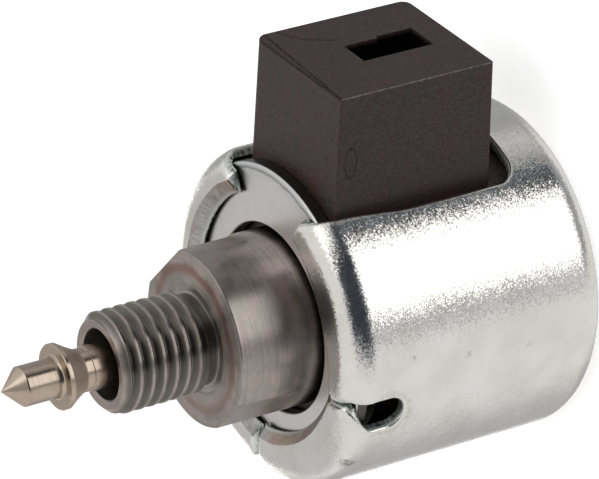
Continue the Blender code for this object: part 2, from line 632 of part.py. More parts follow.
def make_bobbin():
    """Moulded spool: a tube and two flanges, with a notch for the earth lead in the front one."""
    profile = [
        (SLEEVE_SEAT, BOBBIN_BOTTOM),
        (BOBBIN_FLANGE_RADIUS, BOBBIN_BOTTOM),
        (BOBBIN_FLANGE_RADIUS, BOBBIN_BOTTOM + BOBBIN_FLANGE),
        (BOBBIN_TUBE, BOBBIN_BOTTOM + BOBBIN_FLANGE),
        (BOBBIN_TUBE, BOBBIN_TOP - BOBBIN_FLANGE),
        (BOBBIN_FLANGE_RADIUS, BOBBIN_TOP - BOBBIN_FLANGE),
        (BOBBIN_FLANGE_RADIUS, BOBBIN_TOP),
        (SLEEVE_SEAT, BOBBIN_TOP),
    ]
    look = material("bobbin_nylon", (0.05, 0.05, 0.05), 0.0, 0.55)
    bobbin = finish_object("bobbin", turned(profile, HIDDEN_STEPS), look)
    outline = rectangle(TAPE_OUTSIDE, 2.0 * BOBBIN_FLANGE_RADIUS, -GROUND_NOTCH_WIDTH / 2.0, GROUND_NOTCH_WIDTH / 2.0)
    notch = prism(outline, plan_frame(GROUND_ANGLE), COIL_TOP, BOBBIN_TOP + BOBBIN_FLANGE)
    combine(bobbin, cutter("cut_lead_notch", notch))


def make_coil():
    """Enamelled copper winding and the tape wrapped over it."""
    winding = rectangle(COIL_INSIDE, COIL_RADIUS, COIL_BOTTOM, COIL_TOP)
    copper = material("enamelled_copper", (0.48, 0.20, 0.08), 1.0, 0.35)
    finish_object("coil_winding", turned(winding, SMALL_STEPS), copper)
    wrap = rectangle(TAPE_INSIDE, TAPE_OUTSIDE, COIL_BOTTOM, COIL_TOP)
    tape = material("coil_tape", (0.62, 0.48, 0.20), 0.0, 0.45)
    finish_object("coil_tape", turned(wrap, SMALL_STEPS), tape)


def tower_mesh():
    """Tapered connector tower with soft far edges, fine near edges and a chamfered front top edge."""
    bm = bmesh.new()
    bottom = FOOT_INSIDE - FOOT_THICKNESS
    corners = []
    for height, grow in ((bottom, BLOCK_DRAFT), (BLOCK_TOP, 0.0)):
        half = BLOCK_HALF_WIDTH + grow
        front = BLOCK_FRONT - BLOCK_DRAFT + grow
        rear = BLOCK_REAR + BLOCK_DRAFT - grow
        ring = [(height, -half, rear), (height, half, rear), (height, half, front), (height, -half, front)]
        corners.append([bm.verts.new(point) for point in ring])
    low, high = corners
    bm.faces.new(low)
    bm.faces.new(high[::-1])
    for index in range(4):
        after = (index + 1) % 4
        bm.faces.new((low[index], high[index], high[after], low[after]))
    bmesh.ops.recalc_face_normals(bm, faces=bm.faces)

    def edges_where(test):
        return [edge for edge in bm.edges if all(test(vert.co) for vert in edge.verts)]

    def round_edges(edges, size, segments):
        bmesh.ops.bevel(bm, geom=edges, offset=size, offset_type="OFFSET", segments=segments,
                        profile=0.5, affect="EDGES", material=-1)

    top = BLOCK_TOP - MERGE
    near_front = BLOCK_FRONT - 2.0 * BLOCK_SOFT_EDGE
    half_tower = (BLOCK_TOP - bottom) / 2.0
    upright = [edge for edge in bm.edges if abs(edge.verts[0].co.x - edge.verts[1].co.x) > half_tower]
    soft = [edge for edge in upright if edge.verts[0].co.y > 0.0]
    fine = [edge for edge in upright if edge.verts[0].co.y < 0.0]
    round_edges(soft, BLOCK_SOFT_EDGE, 3)
    round_edges([edge for edge in fine if edge.is_valid], BLOCK_FINE_EDGE, 1)
    front_top = edges_where(lambda co: co.x > top and co.z > near_front and abs(co.y) < BLOCK_HALF_WIDTH)
    round_edges(front_top, BLOCK_TOP_CHAMFER, 2)
    return bm


def foot_mesh():
    """Curved foot that lies on the bobbin flanges and is trapped under the can's wall."""
    outline = arc(0.0, 0.0, FOOT_OUTSIDE, -FOOT_HALF_ANGLE, FOOT_HALF_ANGLE, 16)
    outline += arc(0.0, 0.0, FOOT_INSIDE, FOOT_HALF_ANGLE, -FOOT_HALF_ANGLE, 16)
    return prism(outline, plan_frame(0.0), FOOT_REAR, BLOCK_FRONT)


def socket_outline():
    """Mouth of the terminal socket, a little wider along the far side of its rear half."""
    low = SOCKET_CENTRE_HEIGHT - SOCKET_LENGTH / 2.0
    high = SOCKET_CENTRE_HEIGHT + SOCKET_LENGTH / 2.0
    near = SOCKET_CENTRE_OFFSET - SOCKET_SIDE
    far = SOCKET_CENTRE_OFFSET + SOCKET_SIDE
    return [(near, low), (far + SOCKET_STEP, low), (far + SOCKET_STEP, SOCKET_CENTRE_HEIGHT),
            (far, SOCKET_CENTRE_HEIGHT), (far, high), (near, high)]


def make_connector_block():
    look = material("moulded_phenolic", (0.075, 0.062, 0.055), 0.0, 0.55)
    block = finish_object("connector_block", tower_mesh(), look)
    combine(block, cutter("join_foot", foot_mesh()), "UNION")
    saddle = [(0.0, CAN_WALL), (FOOT_INSIDE, CAN_WALL), (FOOT_INSIDE, SHOULDER), (0.0, SHOULDER)]
    combine(block, cutter("cut_saddle", turned(saddle, HIDDEN_STEPS)))
    socket = prism(socket_outline(), radial_frame(0.0), SOCKET_FLOOR, BLOCK_TOP + CAN_WALL)
    combine(block, cutter("cut_socket", socket))
    drill = arc(SOCKET_CENTRE_OFFSET, SOCKET_CENTRE_HEIGHT, LEAD_HOLE_RADIUS, 0.0, 330.0, 11)
    hole = prism(drill, radial_frame(0.0), FOOT_INSIDE / 2.0, SOCKET_FLOOR + CAN_WALL)
    combine(block, cutter("cut_lead_hole", hole))


def make_terminal():
    """Folded female receptacle for a flat blade: a floor and two rolled sides."""
    low = SOCKET_CENTRE_HEIGHT - SOCKET_LENGTH / 2.0 + CLEARANCE
    high = SOCKET_CENTRE_HEIGHT + SOCKET_LENGTH / 2.0 - CLEARANCE
    near = SOCKET_CENTRE_OFFSET - SOCKET_SIDE + TERMINAL_SIDE_GAP
    far = SOCKET_CENTRE_OFFSET + SOCKET_SIDE - TERMINAL_SIDE_GAP
    sheet = TERMINAL_SHEET
    outline = [
        (near, low), (near, high), (far, high), (far, high - TERMINAL_ROLL),
        (far - sheet, high - TERMINAL_ROLL), (far - sheet, high - sheet), (near + sheet, high - sheet),
        (near + sheet, low + sheet), (far - sheet, low + sheet), (far - sheet, low + TERMINAL_ROLL),
        (far, low + TERMINAL_ROLL), (far, low),
    ]
    bottom = SOCKET_FLOOR + 2.0 * CLEARANCE
    top = BLOCK_TOP - TERMINAL_SET_BACK
    look = material("tinned_brass_terminal", (0.50, 0.46, 0.36), 1.0, 0.35)
    finish_object("terminal_receptacle", prism(outline, radial_frame(0.0), bottom, top), look)


def make_live_lead():
    """Coil end that comes up through the foot to the terminal."""
    start = TAPE_OUTSIDE + CLEARANCE
    end = SOCKET_FLOOR + CLEARANCE
    steps = 6
    points = []
    for index in range(steps + 1):
        share = index / steps
        points.append((start + (end - start) * share, SOCKET_CENTRE_OFFSET, SOCKET_CENTRE_HEIGHT))
    look = material("live_lead_copper", (0.50, 0.22, 0.10), 1.0, 0.35)
    tube_along("lead_live", points, LEAD_RADIUS, look)


def make_ground_lead():
    """Coil end that passes the front flange in its notch and meets the earth tab."""
    top = BOBBIN_TOP
    radius = TAPE_OUTSIDE + CLEARANCE + LEAD_RADIUS
    place = plan_frame(GROUND_ANGLE)
    steps = 4
    points = []
    for index in range(steps + 1):
        height = top - GROUND_LEAD_LENGTH * (1.0 - index / steps)
        points.append(place @ Vector((radius, 0.0, height)))
    look = material("ground_lead_copper", (0.50, 0.22, 0.10), 1.0, 0.35)
    tube_along("lead_ground", points, LEAD_RADIUS, look)


def make_ground_tab():
    """Stepped strip between the bobbin's front flange and the plate: the coil's earth."""
    sheet = GROUND_TAB_SHEET
    inner = NOSE_FLANGE_RADIUS + 2.0 * CLEARANCE
    riser = BOBBIN_FLANGE_RADIUS + CLEARANCE
    outer = PLATE_RADIUS - CLEARANCE
    outline = [
        (inner, NOSE_BOTTOM), (riser + sheet, NOSE_BOTTOM), (riser + sheet, NOSE_FLANGE_TOP - sheet),
        (outer, NOSE_FLANGE_TOP - sheet), (outer, NOSE_FLANGE_TOP), (riser, NOSE_FLANGE_TOP),
        (riser, NOSE_BOTTOM + sheet), (inner, NOSE_BOTTOM + sheet),
    ]
    half = GROUND_TAB_WIDTH / 2.0
    look = material("tinned_earth_tab", (0.52, 0.50, 0.46), 1.0, 0.35)
    finish_object("ground_tab", prism(outline, meridian_frame(GROUND_ANGLE), -half, half), look)


def make_wave_washer():
    """Wavy spring washer round the core's foot that takes up the slack in the stack."""
    inner = CORE_FLANGE_RADIUS + WASHER_INNER_GAP
    outer = inner + WASHER_WIDTH
    swing = (CORE_FLANGE_TOP - CORE_BOTTOM - WASHER_THICKNESS) / 2.0
    low = CORE_BOTTOM + swing
    bm = turned(rectangle(inner, outer, low, low + WASHER_THICKNESS), HIDDEN_STEPS)
    for vert in bm.verts:
        vert.co.z += swing * math.cos(WASHER_WAVES * math.atan2(vert.co.y, vert.co.x))
    look = material("spring_steel_washer", (0.36, 0.36, 0.38), 1.0, 0.35)
    finish_object("wave_washer", bm, look)


clear_scene()
CUTTER_LOOK = material("cutter", (0.8, 0.2, 0.2), 0.0, 0.5)
PLUNGER_AXIS = bpy.data.objects.new("plunger_axis", None)
bpy.context.scene.collection.objects.link(PLUNGER_AXIS)
make_housing_can()
make_front_plate()
make_nose_body()
make_front_seal()
make_needle()
make_armature()
make_return_spring()
make_fixed_core()
make_core_bumper()
make_guide_sleeve()
make_bobbin()
make_coil()
make_connector_block()
make_terminal()
make_live_lead()
make_ground_lead()
make_ground_tab()
make_wave_washer()
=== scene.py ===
"""Looks of a fuel shutoff solenoid: a zinc-plated can, a moulded connector block and a turned nose.

The pieces that show are modelled again in millimetres at a fine resolution, each in the place
of its CAD node, and brought to metres when they are finished. Angles round the part run from
+X towards -Y. The camera lies on its side, as the part does in the picture.
"""

import math
import random

import bmesh
import bpy
from mathutils import Matrix, Vector


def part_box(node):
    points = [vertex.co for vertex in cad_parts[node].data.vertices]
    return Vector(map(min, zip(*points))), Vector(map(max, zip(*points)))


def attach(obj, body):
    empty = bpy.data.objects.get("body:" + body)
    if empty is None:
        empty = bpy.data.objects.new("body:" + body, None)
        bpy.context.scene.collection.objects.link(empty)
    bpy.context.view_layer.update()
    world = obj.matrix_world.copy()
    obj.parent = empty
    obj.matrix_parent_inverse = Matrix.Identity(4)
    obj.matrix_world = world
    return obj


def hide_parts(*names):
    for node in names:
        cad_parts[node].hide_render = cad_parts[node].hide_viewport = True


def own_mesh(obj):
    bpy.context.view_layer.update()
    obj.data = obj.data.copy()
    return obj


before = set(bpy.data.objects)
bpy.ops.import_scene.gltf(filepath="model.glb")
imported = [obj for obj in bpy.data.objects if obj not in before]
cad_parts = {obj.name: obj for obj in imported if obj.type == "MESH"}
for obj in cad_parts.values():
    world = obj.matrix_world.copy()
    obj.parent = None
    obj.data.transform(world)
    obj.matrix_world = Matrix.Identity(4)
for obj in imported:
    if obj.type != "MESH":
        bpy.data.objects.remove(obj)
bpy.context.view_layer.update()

MM = 0.001
WELD = 0.0005
SMOOTH_ANGLE = math.radians(38.0)
SUPPORT = 0.05
CUT_PAST = 1.0


def reach_of(node):
    """Lowest and highest corner of a CAD node, in millimetres."""
    low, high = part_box(node)
    return low / MM, high / MM


_, CAN_HIGH = reach_of("housing_can")
PLATE_LOW, PLATE_HIGH = reach_of("front_plate")
NOSE_LOW, NOSE_HIGH = reach_of("nose_body")
NEEDLE_LOW, NEEDLE_HIGH = reach_of("needle_plunger")
BLOCK_LOW, BLOCK_HIGH = reach_of("connector_block")
SPRING_LOW, SPRING_HIGH = reach_of("return_spring")

# The can: a drawn cup whose rim is slit into four tabs, rolled over and swaged down.
CAN_RADIUS = CAN_HIGH.y
CAN_TOP = CAN_HIGH.z
CAN_WALL = 1.0
BACK_FILLET = 2.8
FOLD_RADIUS = 2.7
INNER_FOLD_RADIUS = 1.1
SLOT_ANGLES = (100.3, 180.0, 259.7)
SLOT_WIDTHS = (3.4, 4.6, 3.4)
SLOT_DEPTH = 5.8
SLOT_PINCHES = (0.22, 0.45, 0.22)
SLIT_CLOSING = 2.2
SLIT_CLOSING_POWER = 1.6
SLIT_SWING = 0.9
SLIT_SPAN = 5.6
SLIT_SWINGS = (-1.0, 0.0, 1.0)
TORN_LEAN = 0.4
TORN_LEAN_POWER = 6
TAB_REACHES = (4.5, 4.4, 4.0, 3.1)
TAB_CORNER_SET_BACK = 0.35
TAB_CORNER_RADIUS = 0.25
SWAGE_WIDTHS = (1.1, 1.1, 1.2, 1.35)
SWAGED_EDGE = 0.15
SWAGE_MARGIN = 0.03
WINDOW_HALF_WIDTH = 8.85
WINDOW_REAR = 6.2
WINDOW_CORNER = 2.0
WINDOW_BOWS = (0.75, -0.35)
WINDOW_BOW_START = 17.5
SHEAR_ROUNDING = 0.25
SHEAR_BURR = 0.05
CAN_COLUMNS = 144
FILLET_ROWS = 9
WALL_ROWS = 12
FOLD_ROWS = 14
RIM_ROWS = 8
RIM_ROW = 0.35
TAB_TOP_STEPS = 44
TAB_SIDE_STEPS = 12
SLOT_END_STEPS = 18
OUTSIDE, SHEARED, INSIDE, SWAGED = range(4)

# The front plate under the tabs.
PLATE_RADIUS = PLATE_HIGH.y
PLATE_HOLE = 9.17
PLATE_EDGE_RADIUS = 0.28
PLATE_HOLE_CHAMFER = 0.12

# The turned nose with its M10 x 1.25 thread.
NOSE_FLANGE_RADIUS = NOSE_HIGH.y
NOSE_FLANGE_TOP = 25.45
NOSE_RADIUS = 8.5
NOSE_EDGE_CHAMFER = 0.15
THREAD_END = NOSE_HIGH.z
SHOULDER = THREAD_END - 10.05
FLAT_ANGLE = 49.0
FLAT_DEPTHS = (1.0, 0.4)
FLAT_BOTTOM = PLATE_HIGH.z + 1.6
THREAD_RADIUS = 4.9
THREAD_PITCH = 1.25
THREAD_CHAMFER = 0.7
THREAD_ROOT = 4.22
THREAD_FLANK = math.radians(30.0)
THREAD_ROOT_HALF_WIDTH = 0.12
RELIEF_RADIUS = 4.3
RELIEF_WIDTH = 0.7
UNDERCUT_RADIUS = 5.2
UNDERCUT_DEPTH = 0.15
BORE_RADIUS = 3.4
BORE_CHAMFER = 0.2
NOSE_POCKET_TOP = 30.0
SEAL_GROOVE_HALF_WIDTH = 0.65
SEAL_GROOVE_INSET = 1.45
SEAL_GROOVE_DEPTH = 1.0
RUST_RING_RADIUS = 7.25
SLEEVE_INSIDE = 5.0
SLEEVE_SEAT = 5.7
SLEEVE_END = 29.4
TURNED_STEPS = 120

# The needle.
NEEDLE_TIP = NEEDLE_HIGH.z
COLLAR_RADIUS = NEEDLE_HIGH.y
CONE_LENGTH = 2.0
TIP_RADIUS = 1.91
COLLAR_FRONT = NEEDLE_TIP - 5.63
COLLAR_LAND = 0.45
COLLAR_FLARE = 1.85
COLLAR_FLARE_POWER = 1.15
COLLAR_NECK = 0.8
COLLAR_FILLET = 0.35
COLLAR_EDGE = 0.06
SHAFT_RADIUS = 2.15
NECK_RADIUS = SHAFT_RADIUS - 0.075
SHAFT_END = 30.0
TAIL_RADIUS = 1.6

# The connector block, its foot under the can's wall and its socket.
BLOCK_TOP = BLOCK_HIGH.x
BLOCK_FRONT = BLOCK_HIGH.z
BLOCK_LENGTH = 16.5
BLOCK_HALF_WIDTH = 7.33
BLOCK_DRAFT = 0.2
BLOCK_SOFT_EDGE = 0.9
BLOCK_FINE_EDGE = 0.18
FACET_INSETS = (0.12, 0.85)
FACET_FALL = 0.2
FOOT_INSIDE = 13.3
FOOT_OUTSIDE = 14.8
FOOT_REAR = BLOCK_LOW.z
FOOT_HALF_ANGLE = 41.0
TOWER_OVERLAP = 1.5
SOCKET_NEAR = -1.65
SOCKET_FAR = 1.85
SOCKET_STEP = 0.3
SOCKET_REAR = 11.55
SOCKET_FRONT = 19.15
SOCKET_FLOOR = 15.2
SOCKET_NICKS = 9
NICK_DEPTHS = (-0.12, 0.1)
LEAD_HOLE_RADIUS = 0.6
LEAD_HOLE_Y = 0.1

# Marks that the mould left on the block: an oval on the near face and an arc on the top. Both
# are centres in millimetres and radii, and the oval is a circle that OVAL_FLATNESS squeezes.
OVAL_FLATNESS = 2.4
OVAL_CENTRE = (18.85, -BLOCK_HALF_WIDTH - 0.1, 23.95 * OVAL_FLATNESS)
OVAL_RADIUS = 1.5
ARC_CENTRE = (BLOCK_TOP, 9.43, 16.88)
ARC_RADIUS = 6.56
MARKS_START = 18.3

# The return spring inside.
SPRING_WIRE_RADIUS = 0.25
SPRING_COIL_RADIUS = 2.2
SPRING_TURNS = 8.5
SPRING_END_PITCH = 0.65
SPRING_STEPS = 24
WIRE_STEPS = 10


def connect(tree, node, inputs):
    """Set a node's inputs, by name or by number, to values, to other nodes or to their sockets."""
    for name, value in inputs.items():
        if isinstance(name, int):
            target = node.inputs[name]
        else:
            target = next(socket for socket in node.inputs if socket.name == name and socket.enabled)
        if isinstance(value, bpy.types.Node):
            value = next(socket for socket in value.outputs if socket.enabled)
        if isinstance(value, bpy.types.NodeSocket):
            tree.links.new(value, target)
        else:
            target.default_value = value


def add(tree, kind, inputs=None, **settings):
    """Add one node with its inputs and its own settings."""
    made = tree.nodes.new("ShaderNode" + kind)
    for name, value in settings.items():
        setattr(made, name, value)
    connect(tree, made, inputs or {})
    return made


def colour(code):
    """An sRGB hex colour, such as #C8C8C8, as linear light."""
    channels = [int(code[place:place + 2], 16) / 255.0 for place in (1, 3, 5)]
    linear = [value / 12.92 if value <= 0.04045 else ((value + 0.055) / 1.055) ** 2.4 for value in channels]
    return (*linear, 1.0)


def scale_for(size):
    """The pattern scale whose features are this many millimetres across."""
    return 1.0 / (size * MM)


def arc(centre_radius, centre_height, radius, start, end, segments):
    """Points along an arc of a profile, from start to end in degrees."""
    points = []
    for index in range(segments + 1):
        angle = math.radians(start + (end - start) * index / segments)
        points.append((centre_radius + radius * math.cos(angle), centre_height + radius * math.sin(angle)))
    return points


def with_support(profile):
    """The same profile with a point just inside each end of its long lines, which keeps them crisp."""
    points = [Vector(profile[0])]
    for start, end in zip(profile, profile[1:]):
        run = Vector(end) - Vector(start)
        if run.length > 10.0 * SUPPORT:
            step = run.normalized() * SUPPORT
            points += [Vector(start) + step, Vector(end) - step]
        points.append(Vector(end))
    return points


def turned(profile, steps):
    """Spin a profile of (radius, height) points about the part's axis."""
    profile = with_support(profile)
    bm = bmesh.new()
    verts = [bm.verts.new((radius, 0.0, height)) for radius, height in profile]
    edges = [bm.edges.new(pair) for pair in zip(verts, verts[1:])]
    if profile[0][0] > WELD or profile[-1][0] > WELD:
        edges.append(bm.edges.new((verts[-1], verts[0])))
    bmesh.ops.spin(bm, geom=verts + edges, axis=(0.0, 0.0, 1.0), cent=(0.0, 0.0, 0.0),
                   angle=math.tau, steps=steps, use_merge=True)
    bmesh.ops.remove_doubles(bm, verts=bm.verts, dist=WELD)
    bmesh.ops.recalc_face_normals(bm, faces=bm.faces)
    return bm


def prism(outline, place, low, high):
    """Extrude an outline from low to high along the third direction of its place."""
    bm = bmesh.new()
    face = bm.faces.new([bm.verts.new(place @ Vector((across, along, low))) for across, along in outline])
    grown = bmesh.ops.extrude_face_region(bm, geom=[face])
    far_side = [item for item in grown["geom"] if isinstance(item, bmesh.types.BMVert)]
    bmesh.ops.translate(bm, vec=place.to_3x3() @ Vector((0.0, 0.0, high - low)), verts=far_side)
    bmesh.ops.recalc_face_normals(bm, faces=bm.faces)
    return bm


def shaped(bm, tools, operation="DIFFERENCE"):
    """Cut the tools out of a shape, or join them to it, and give back the new mesh."""
    mesh = bpy.data.meshes.new("workpiece")
    bm.to_mesh(mesh)
    bm.free()
    work = bpy.data.objects.new("workpiece", mesh)
    bpy.context.scene.collection.objects.link(work)
    helpers = []
    for tool in tools:
        tool_mesh = bpy.data.meshes.new("tool")
        tool.to_mesh(tool_mesh)
        tool.free()
        helper = bpy.data.objects.new("tool", tool_mesh)
        bpy.context.scene.collection.objects.link(helper)
        helpers.append(helper)
        change = work.modifiers.new("shape", "BOOLEAN")
        change.operation = operation
        change.solver = "EXACT"
        change.object = helper
    bpy.context.view_layer.update()
    result = bmesh.new()
    result.from_object(work, bpy.context.evaluated_depsgraph_get())
    for thing in [work, *helpers]:
        bpy.data.objects.remove(thing, do_unlink=True)
    return result


def finished(name, bm, body, node, looks):
    """Bring a mesh to metres and set it in the frame in the place of its CAD node."""
    bmesh.ops.scale(bm, vec=(MM, MM, MM), verts=bm.verts)
    mesh = bpy.data.meshes.new(name)
    bm.to_mesh(mesh)
    bm.free()
    mesh.shade_smooth()
    mesh.set_sharp_from_angle(angle=SMOOTH_ANGLE)
    for look in looks:
        mesh.materials.append(look)
    piece = bpy.data.objects.new(name, mesh)
    bpy.context.scene.collection.objects.link(piece)
    shading = piece.modifiers.new("flat faces stay flat", "WEIGHTED_NORMAL")
    shading.mode = "FACE_AREA"
    shading.weight = 90
    shading.keep_sharp = True
    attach(piece, body)
    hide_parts(node)
    return piece


# The can's wall is modelled flat, as a blank, and then rolled up. Across the blank is the way
# round the can and along it is the way up its section, both in millimetres on the outer face.
FILLET_RUN = BACK_FILLET * math.pi / 2.0
WALL_RUN = FILLET_RUN + CAN_TOP - FOLD_RADIUS - BACK_FILLET
FOLD_RUN = WALL_RUN + FOLD_RADIUS * math.pi / 2.0
FOLD_CENTRE = CAN_RADIUS - FOLD_RADIUS
BLANK_WIDTH = math.tau * CAN_RADIUS
WINDOW_HALF_ANGLE = math.asin(WINDOW_HALF_WIDTH / CAN_RADIUS)
SLOT_PLACES = [math.radians(angle) for angle in SLOT_ANGLES]
SLOT_HALVES = [width / 2.0 for width in SLOT_WIDTHS]
TAB_STARTS = [WINDOW_HALF_ANGLE]
TAB_STARTS += [place + half / CAN_RADIUS for place, half in zip(SLOT_PLACES, SLOT_HALVES)]
TAB_ENDS = [place - half / CAN_RADIUS for place, half in zip(SLOT_PLACES, SLOT_HALVES)]
TAB_ENDS.append(math.tau - WINDOW_HALF_ANGLE)
TAB_PLACES = [(start + end) / 2.0 for start, end in zip(TAB_STARTS, TAB_ENDS)]
TAB_HALF_WIDTH = CAN_RADIUS * (TAB_ENDS[0] - TAB_STARTS[0]) / 2.0


def along_at(height):
    """How far along the blank a height on the can's straight wall lies."""
    return FILLET_RUN + height - BACK_FILLET


def outer_radius(along):
    """Radius of the can's outer face at a place along the blank, past the straight wall."""
    if along <= WALL_RUN:
        return CAN_RADIUS
    if along <= FOLD_RUN:
        return FOLD_CENTRE + FOLD_RADIUS * math.cos((along - WALL_RUN) / FOLD_RADIUS)
    return FOLD_CENTRE - (along - FOLD_RUN)


def can_section(along):
    """Outer and inner point of the can's wall, as (radius, height), at a place along the blank."""
    if along < FILLET_RUN:
        angle = along / BACK_FILLET - math.pi / 2.0
        way = Vector((math.cos(angle), math.sin(angle)))
        centre = Vector((CAN_RADIUS - BACK_FILLET, BACK_FILLET))
        return centre + BACK_FILLET * way, centre + (BACK_FILLET - CAN_WALL) * way
    if along <= WALL_RUN:
        height = BACK_FILLET + along - FILLET_RUN
        return Vector((CAN_RADIUS, height)), Vector((CAN_RADIUS - CAN_WALL, height))
    inner_centre = Vector((CAN_RADIUS - CAN_WALL - INNER_FOLD_RADIUS, CAN_TOP - CAN_WALL - INNER_FOLD_RADIUS))
    if along <= FOLD_RUN:
        angle = (along - WALL_RUN) / FOLD_RADIUS
        way = Vector((math.cos(angle), math.sin(angle)))
        centre = Vector((FOLD_CENTRE, CAN_TOP - FOLD_RADIUS))
        return centre + FOLD_RADIUS * way, inner_centre + INNER_FOLD_RADIUS * way
    radius = outer_radius(along)
    lag = (inner_centre.x - FOLD_CENTRE) * max(0.0, 1.0 - (along - FOLD_RUN) / CAN_WALL)
    return Vector((radius, CAN_TOP)), Vector((radius + lag, CAN_TOP - CAN_WALL))


def tab_edge(tab, side, along):
    """Angle from a tab's middle to one of its edges, at a place along the blank."""
    past_wall = max(along - WALL_RUN, 0.0)
    radius = outer_radius(along)
    if (tab == 0 and side < 0) or (tab == len(TAB_PLACES) - 1 and side > 0):
        start = along_at(WINDOW_BOW_START)
        share = min(max((along - start) / (WALL_RUN - start), 0.0), 1.0)
        bow = WINDOW_BOWS[0 if tab == 0 else 1] * share * share * (3.0 - 2.0 * share)
        return (TAB_HALF_WIDTH + bow) / max(radius, FOLD_CENTRE)
    slot = tab if side > 0 else tab - 1
    closed = 1.0 - math.exp(-(past_wall / SLIT_CLOSING) ** SLIT_CLOSING_POWER)
    half = SLOT_HALVES[slot] + (SLOT_PINCHES[slot] - SLOT_HALVES[slot]) * closed
    swing = SLIT_SWINGS[slot] * SLIT_SWING * math.sin(math.pi * min(past_wall / SLIT_SPAN, 1.0)) ** 2
    distance = abs(SLOT_PLACES[slot] - TAB_PLACES[tab])
    return distance - (half - side * swing) / radius


def lip_along(tab, offset):
    """Place along the blank where a tab's swaged lip begins, at an angle from the tab's middle."""
    share = min(abs(offset) * CAN_RADIUS / TAB_HALF_WIDTH, 1.1)
    reach = TAB_REACHES[tab] - TAB_CORNER_SET_BACK * share * share
    along = FOLD_RUN + reach - FOLD_RADIUS
    room = (tab_edge(tab, 1 if offset > 0 else -1, along) - abs(offset)) * outer_radius(along)
    if room < TAB_CORNER_RADIUS:
        missing = TAB_CORNER_RADIUS - max(room, 0.0)
        reach -= TAB_CORNER_RADIUS - math.sqrt(max(TAB_CORNER_RADIUS ** 2 - missing ** 2, 0.0))
    return FOLD_RUN + max(reach, FOLD_RADIUS + CAN_WALL * 0.15) - FOLD_RADIUS


def tab_side(tab, side, from_along, to_along, steps):
    """Points of the blank's outline up or down one side of a tab."""
    points = []
    for index in range(steps + 1):
        along = from_along + (to_along - from_along) * index / steps
        across = CAN_RADIUS * TAB_PLACES[tab] + side * outer_radius(along) * tab_edge(tab, side, along)
        points.append((across, along))
    return points


def tab_top(tab, steps):
    """Points of the blank's outline across the front of a tab, where its lip begins."""
    points = []
    first = -tab_edge(tab, -1, FOLD_RUN)
    last = tab_edge(tab, 1, FOLD_RUN)
    for index in range(steps + 1):
        share = (1.0 - math.cos(math.pi * index / steps)) / 2.0
        offset = first + (last - first) * share
        along = lip_along(tab, offset)
        offset = max(-tab_edge(tab, -1, along), min(offset, tab_edge(tab, 1, along)))
        points.append((CAN_RADIUS * TAB_PLACES[tab] + outer_radius(along) * offset, along))
    return points


def window_corner(side):
    """One rear corner of the window, from the seam's side outwards."""
    inset = WINDOW_HALF_WIDTH - WINDOW_CORNER
    sweep = (270.0, 360.0) if side > 0 else (180.0, 270.0)
    corner = arc(side * inset, WINDOW_REAR + WINDOW_CORNER, WINDOW_CORNER, *sweep, 9)
    return [(CAN_RADIUS * math.asin(y / CAN_RADIUS), along_at(height)) for y, height in corner]


def blank_outline():
    """The blank's outline, and for each tab which of its points lie along the lip."""
    outline = [(0.0, 0.0), (0.0, along_at(WINDOW_REAR))]
    outline += window_corner(1)
    lips = []
    bow_start = along_at(WINDOW_BOW_START)
    for tab in range(len(TAB_PLACES)):
        top = tab_top(tab, TAB_TOP_STEPS)
        if tab > 0:
            half = SLOT_HALVES[tab - 1]
            middle = CAN_RADIUS * SLOT_PLACES[tab - 1]
            bottom = along_at(CAN_TOP - SLOT_DEPTH) + half
            outline += arc(middle, bottom, half, 180.0, 360.0, SLOT_END_STEPS)
        else:
            outline += tab_side(tab, -1, bow_start, WALL_RUN, TAB_SIDE_STEPS)[:-1]
        outline += tab_side(tab, -1, WALL_RUN, top[0][1], TAB_SIDE_STEPS)[:-1]
        lips.append((len(outline), len(outline) + len(top)))
        outline += top
        outline += tab_side(tab, 1, top[-1][1], WALL_RUN, TAB_SIDE_STEPS)[1:]
    outline += tab_side(tab, 1, WALL_RUN, bow_start, TAB_SIDE_STEPS)[1:]
    outline += [(BLANK_WIDTH + across, along) for across, along in window_corner(-1)]
    outline += [(BLANK_WIDTH, along_at(WINDOW_REAR)), (BLANK_WIDTH, 0.0)]
    return outline, lips


def nearest_tab(across):
    """The tab whose middle is nearest to a place across the blank."""
    return min(range(len(TAB_PLACES)), key=lambda tab: abs(across - CAN_RADIUS * TAB_PLACES[tab]))


